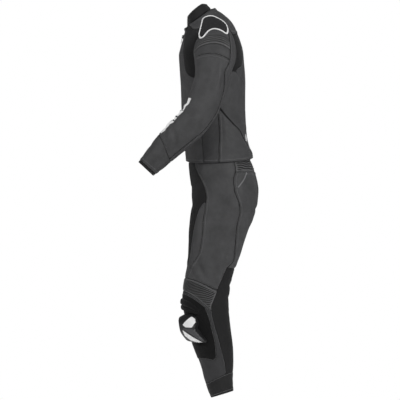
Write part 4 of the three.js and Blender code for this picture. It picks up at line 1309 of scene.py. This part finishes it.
def build_shoulder_insert():
    """A perforated window over the shoulder, framed by a white piping."""
    outline = rounded_outline(to_chart(shoulder, INSERT_CENTRE, INSERT_OUTLINE), 9, 132)
    shares, base = (1, 0.985, 0.95, 0.9, 0.82, 0.72, 0.6, 0.48, 0.36, 0.24, 0.12), flat_base(0.2)
    for side, word in SIDES:
        below = f"sleeve_cap_{word}", "yoke", f"front_{word}"

        def lying(rings):
            return np.maximum(height_on(below, *chart(shoulder, INSERT_CENTRE, rings), side), 0.2)

        def top(rings, share):
            return lying(rings) + 0.7 + 0.8 * smooth((1 - share) / 0.16)

        name = f"shoulder_insert_{word}"
        made = patch_mesh(f"{name}_mesh", shoulder, INSERT_CENTRE, outline, shares, top, base, side)
        declare(made, MESH, name)
        place, normal = chart(shoulder, INSERT_CENTRE, outline)
        around, half = lying(outline), 2.3 + 1.1 * smooth((outline[:, 1] - 12) / 16)
        evened = np.stack([np.roll(around, k) for k in range(-8, 9)]).mean(0)[:, None]
        line = place + normal * evened
        declare(strip_mesh(f"shoulder_piping_{word}", line, normal, half, 1.9, side), PIPING)


# The slider's outline and facets, in millimetres across and down from its middle on the knee.
KNEE_SLIDER = (37, 622)
PUCK = [
    [-46, -38], [8, -55], [24, -51], [29, -33], [20, -8], [48, 33], [39, 44], [12, 50], [-26, 46], [-50, 12],
]
KNEE_CUP = (22, 541)
CUP = [[-60, -6], [-30, -20], [30, -20], [62, -8], [60, 14], [20, 22], [-44, 20]]
PUCK_LIFT, PUCK_HIGH = 3.0, 31.0  # height of the slider's foot above the leather, and of its dome above that
PUCK_PROFILE = table("share high", [0, 1], [0.45, 0.99], [0.78, 0.88], [0.92, 0.66], [1, 0.3], [1.4, 0.1])


def puck_height(places):
    """The slider's worn dome over its outline, flatter in the middle and steep at the rim."""
    outline = rounded_outline(PUCK, 7, 360)
    bearing = np.arctan2(outline[:, 1], outline[:, 0])
    order = np.argsort(bearing)
    way = np.arctan2(places[..., 1], places[..., 0])
    reach = np.interp(way, bearing[order], length(outline)[order], period=2 * np.pi)
    return PUCK_LIFT + PUCK_HIGH * column(PUCK_PROFILE, "high", length(places) / reach, along="share")


FACETS = dict(
    upper_facet=([[12, -51], [23, -46], [25, -33], [13, -10], [-8, -7], [-17, -14]], WHITE_PLASTIC, 1.3),
    middle_bar=([[-20, -5], [13, -6], [42, 31], [35, 35]], GREY_PLASTIC, 0.8),
    lower_blade=([[-21, 1], [34, 41], [18, 45], [-4, 36], [-18, 19]], WHITE_PLASTIC, 1.4),
)


def puck_top(rings, share):
    """The slider's top, whose outermost ring lies lower and makes an upright rim."""
    high = puck_height(rings)
    high[0] = PUCK_LIFT + 3
    return high


def cup_top(rings, share):
    """Two crowned rolls with a sewn valley between them."""
    crown = np.sqrt(np.clip(1 - share**4, 0, 1))
    from_valley = rings[..., 1] - 2 - 0.05 * rings[..., 0]
    return 3.6 + 9.0 * crown * (1 - 0.5 * bump(from_valley, 4.2)) - 1.2 * bump(from_valley, 1.2) * crown


def facet_plate(name, corners, looks, raised, side):
    """A coloured plate that stands a little out of the slider's top."""
    outline = rounded_outline(corners, 2.5, 72)

    def plate_top(rings, share):
        return puck_height(rings) + raised * smooth((1 - share) / 0.06) - 0.3

    def plate_base(rings):
        return puck_height(rings) - 1.2

    shares, middle = (1, 0.97, 0.92, 0.8, 0.6, 0.4, 0.2), outline.mean(0)
    made = patch_mesh(name, leg, KNEE_SLIDER, outline, shares, plate_top, plate_base, side, 35, middle)
    declare(made, looks)


def build_knee():
    puck, cup, base = rounded_outline(PUCK, 7, 108), rounded_outline(CUP, 9, 96), flat_base(1.8)
    puck_shares = 1, 1.0, 0.985, 0.95, 0.92, 0.86, 0.78, 0.66, 0.55, 0.45, 0.3, 0.15
    cup_shares = 1, 0.985, 0.95, 0.9, 0.84, 0.76, 0.68, 0.6, 0.52, 0.44, 0.36, 0.28, 0.2, 0.1
    for side, word in SIDES:
        name = f"knee_slider_{word}"
        body = patch_mesh(f"{name}_puck", leg, KNEE_SLIDER, puck, puck_shares, puck_top, base, side, 28)
        declare(body, BLACK_PLASTIC, name)
        for facet, (corners, looks, raised) in FACETS.items():
            facet_plate(f"knee_{facet}_{word}", corners, looks, raised, side)
        name = f"knee_cup_{word}"
        pad = patch_mesh(f"{name}_rolls", leg, KNEE_CUP, cup, cup_shares, cup_top, base, side, 60)
        declare(pad, VELOUR, name)


PANEL_TOP, PANEL_END, CORNER = 504, 735, 24  # the knee panel's rows and the size of its lower corners
RING_ANGLE, RING_ROW, RING_WIDE, RING_TALL = 40, 622, 54, 74  # the sewn ring round the slider
KNEE_DEGREE = 1.1  # length of a degree round the knee


def corner_inset(row):
    """How far the knee panel's sides draw in at its rounded lower corners, in degrees."""
    into = np.clip((row - (PANEL_END - CORNER)) / CORNER, 0, 1)
    return CORNER * (1 - np.sqrt(np.maximum(1 - into**2, 0))) / 1.05


def channel_relief(grid):
    """Stitched channels round the slider's place on the velour, and a soft edge."""
    across = (grid.angle - RING_ANGLE) * KNEE_DEGREE / RING_WIDE
    away = length(np.stack([across, (grid.row - RING_ROW) / RING_TALL], -1))
    return 1.3 * smooth((away - 1.04) / 0.1) - 0.9 * bump(away - 1.0, 0.025) - 0.7 * bump(away - 1.34, 0.02)


def knee_panel_front(row):
    return -46 + corner_inset(row)


def knee_panel_rear(row):
    return knee_seam(row) - corner_inset(row)


def build_knee_panel():
    panel("knee_panel", leg, (PANEL_TOP, PANEL_END), (knee_panel_front, knee_panel_rear),
          "turned turned plain turned", VELOUR, wall=1.5, full=0.4, lift=2.2, relief=channel_relief)


# ---------------- zip
ZIP_STEP = 1.35  # spacing of the places along the zip, half that of its teeth


def zip_line():
    """The middle line of the front zip, with the direction out of the jacket at each place."""
    on_collar, on_torso = np.linspace(2, 34, 12), np.linspace(4, 594, 190)
    place = np.concatenate([collar(0 * on_collar, on_collar), torso(0 * on_torso, on_torso)])
    reach = reach_along(place)
    line = between(np.arange(0, reach[-1], ZIP_STEP), reach, place) * [0, 1, 1]
    for _ in range(6):
        line[1:-1] = (line[:-2] + 2 * line[1:-1] + line[2:]) / 4
    ahead = unit(np.gradient(line, axis=0))
    return line, np.cross(ahead, [1, 0, 0]), ahead


def build_tape(line, out):
    """The zip's tape, with a shallow channel for its teeth."""
    half = ZIP_WIDTH / 2 - GAP / 2
    rows, out = line[::3], out[::3]
    across = np.array([-half, -2.6, -1.6, 1.6, 2.6, half])
    deep = np.array([0.2, 0.0, -0.7, -0.7, 0.0, 0.2])
    flat = rows[:, None] + across[:, None] * [1, 0, 0]
    face, back = flat + out[:, None] * (deep - 0.5)[:, None], flat - out[:, None] * 2.2
    count, columns = len(rows), len(across)
    ids = np.arange(count * columns).reshape(count, columns)
    loop = np.concatenate([ids, ids[:, ::-1] + count * columns], 1)
    where = np.stack(np.broadcast_arrays(across, np.arange(count)[:, None] * 3 * ZIP_STEP), -1).reshape(-1, 2)
    points = np.concatenate([face.reshape(-1, 3), back.reshape(-1, 3)])
    faces = quads(wrapped(loop, 1)) + [loop[0], loop[-1, ::-1]]
    tape = mesh_object("front_zip_tape", points, faces, np.tile(where, (2, 1)))
    declare(tape, TAPE, "front_zip")
    long = float(length(np.diff(line, axis=0)).sum()) * MM


def build_teeth(line, out, ahead):
    """Moulded teeth that reach past the middle from each side in turn."""
    box = np.array(list(np.ndindex(2, 2, 2))) * 2 - 1
    tapered = box * np.where(box[:, 2:] < 0, 1, [0.72, 0.72, 1])
    box_faces = np.array([
        [0, 1, 3, 2], [4, 6, 7, 5], [0, 4, 5, 1], [2, 3, 7, 6], [0, 2, 6, 4], [1, 5, 7, 3],
    ])
    points, faces = [], []
    for k in range(2, len(line) - 2, 2):
        sign = 1 if (k // 2) % 2 else -1
        middle = line[k] + out[k] * 0.1 + np.array([sign * 0.9, 0, 0])
        faces += (box_faces + 8 * len(points)).tolist()
        points.append(middle + tapered @ np.array([[2.1, 0, 0], ahead[k] * 0.85, out[k] * 0.95]))
    declare(mesh_object("front_zip_teeth", np.concatenate(points), faces, sharp=30), TEETH)


def build_zip():
    line, out, ahead = zip_line()
    build_tape(line, out)
    build_teeth(line, out, ahead)
    for node, body in (("zip_slider", "suit"), ("zip_pull", "zip_pull")):
        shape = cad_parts[node].data.copy()
        made = bpy.data.objects.new(f"{node}_cast", shape)
        bpy.context.scene.collection.objects.link(made)
        shape.materials.clear()
        made.modifiers.new("weld", "WELD").merge_threshold = 0.00001
        bevel = made.modifiers.new("bevel", "BEVEL")
        bevel.width, bevel.segments, bevel.limit_method = 0.0004, 2, "ANGLE"
        declare(made, METAL, node, body=body)


# ---------------- trims
def path_on(surface, places, count):
    """Evenly spaced points and normals along (angle, row) places on a surface."""
    places = np.array(places, float)
    fine = between(np.linspace(0, len(places) - 1, 40 * len(places)), np.arange(len(places)), places)
    reach = reach_along(surface(*fine.T))
    return frame_at(surface, *between(np.linspace(0, reach[-1], count), reach, fine).T)[:2]


BARS = [  # angle and row of the middle, length in millimetres
    [22, 305, 38], [19.5, 337, 12], [18, 363, 27], [17, 390, 12], [16, 415, 25], [15, 447, 25],
    [15, 476, 19],
]
BACK_BARS = [[150, 494, 26], [157, 497, 26]]


def printed_bar(name, surface, middle, long, wide, slant, side, carriers):
    """A slanted bar as a thin film that follows the folds of the panels under it."""
    a, b = wide / 2, long / 2
    corners = [[-a + slant, -b], [a + slant, -b], [a - slant, b], [-a - slant, b]]
    shares = 1, 0.85, 0.7, 0.5, 0.3, 0.15

    def film(rings, share=1):
        return height_on(carriers, *chart(surface, middle, rings), side) + 0.3

    def film_base(rings):
        return film(rings) - 0.7

    return patch_mesh(name, surface, middle, rounded_outline(corners, 1.5, 48), shares, film, film_base, side)


def bar_print(name, surface, bars, wide, slant, side, carriers):
    """Slanted bars printed on the leather, joined as one piece."""
    made = [
        printed_bar(f"{name}_{k}", surface, (angle, row), long, wide, slant, side, carriers)
        for k, (angle, row, long) in enumerate(bars)
    ]
    with bpy.context.temp_override(active_object=made[0], selected_editable_objects=made, object=made[0]):
        bpy.ops.object.join()
    made[0].name = name
    declare(made[0], PRINT)


def build_trims():
    for side, word in SIDES:
        place, normal = path_on(leg, [[123.5, 68], [116.5, 92], [107, 122]], 40)
        lying = height_on([f"seat_{word}"], place, normal, side)[:, None] + 0.2
        line = place + normal * lying
        declare(strip_mesh(f"pocket_welt_{word}", line, normal, 2.6, 1.3, side, closed=False), WELT_PAINTED_HIGHLIGHT)
        below = f"outer_sleeve_{word}", f"under_sleeve_{word}"
        bar_print(f"forearm_bars_{word}", sleeve, BARS, 19, 2.5, side, below)
        below = "back_centre", f"back_side_{word}", f"lower_back_{word}"
        bar_print(f"back_bars_{word}", torso, BACK_BARS, 7, 6, side, below)


def build_fly():
    grid = Grid(hips, (32, 116), (at_angle(-12), at_angle(9)), "turned felled plain turned")
    grid.fold += 1.4
    made = declare(wall_mesh("fly_panel", grid, 1.5), DARK, "fly")
    flat, area = flat_cut(grid)
    stitch_edges(grid, "trousers", 1)


# ---------------- stage
def build_camera():
    """A long lens level with the middle of the suit, at the wearer's left side."""
    camera = bpy.data.cameras.new("camera")
    camera.sensor_width = 36
    distance, frame_width = 40.0, 1.44
    camera.lens = camera.sensor_width * distance / frame_width
    camera.clip_end = 200
    holder = bpy.data.objects.new("camera", camera)
    holder.location = (distance, -0.0432, -0.6588)
    holder.rotation_euler = (math.pi / 2, 0, math.pi / 2)
    bpy.context.scene.collection.objects.link(holder)
    bpy.context.scene.camera = holder


def area_light(name, place, aim, size, power, glare):
    light = bpy.data.lights.new(name, "AREA")
    light.size, light.energy = size, power
    holder = bpy.data.objects.new(name, light)
    holder.location = place
    holder.visible_glossy = glare
    way = np.array(aim, float) - np.array(place, float)
    pitch = math.atan2(math.hypot(way[0], way[1]), -way[2])
    holder.rotation_euler = (pitch, 0, math.atan2(way[1], way[0]) - math.pi / 2)
    bpy.context.scene.collection.objects.link(holder)


MIDDLE, CHEST = (0, -0.05, -0.65), (0, -0.05, -0.3)
LIGHTS = dict(  # place and aim in metres, size, power, and whether it shows in glossy faces
    key=((2.9, 2.1, 1.0), MIDDLE, 2.0, 76, True),
    left_fill=((3.0, -2.4, 0.7), CHEST, 1.6, 36, True),
    right_key=((-2.9, 2.1, 1.0), MIDDLE, 2.0, 76, False),
    right_fill=((-3.0, -2.4, 0.7), CHEST, 1.6, 36, False),
    front=((0.2, -3.6, 0.4), MIDDLE, 1.6, 36, False),
    back=((0.2, 3.6, 0.3), MIDDLE, 1.6, 22, False),
    top=((0.9, -0.5, 2.4), MIDDLE, 1.0, 10, True),
)


def build_stage():
    """A pale floor, a white surround seen by the camera only, and soft lights on every side."""
    scene = bpy.context.scene
    world = bpy.data.worlds.new("studio")
    scene.world = world
    world.use_nodes = True
    tree = world.node_tree
    background = tree.nodes["Background"]
    background.inputs["Color"].default_value = (1, 1, 1, 1)
    seen = tree.nodes.new("ShaderNodeLightPath").outputs["Is Camera Ray"]
    strength = tree.nodes.new("ShaderNodeMapRange")
    strength.inputs["To Min"].default_value = 0.07
    strength.inputs["To Max"].default_value = 1.0
    tree.links.new(seen, strength.inputs["Value"])
    tree.links.new(strength.outputs["Result"], background.inputs["Strength"])
    for name, settings in LIGHTS.items():
        area_light(name, *settings)
    scene.view_settings.view_transform = "Standard"
    turn = full_circle(96)
    ring = np.stack([1600 * np.cos(turn), 1600 * np.sin(turn), 0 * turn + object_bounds()[0][2] / MM - 105], -1)
    floor = mesh_object("floor", ring, [range(96)])
    paint = Shader("floor_paint", (0.95, 0.95, 0.95), 0.7)
    paint.tint(paint.noise(3, 3), 0.99, 1.01)
    floor.data.materials.append(paint.material)


build_camera()
build_jacket_body()
build_collar()
build_sleeves()
build_trousers()
build_shoulder_insert()
build_knee_panel()
build_knee()
build_zip()
build_fly()
build_trims()
for group, runs in threads.items():
    declare(stitches_object(f"{group}_stitches", runs), THREAD)
build_stage()
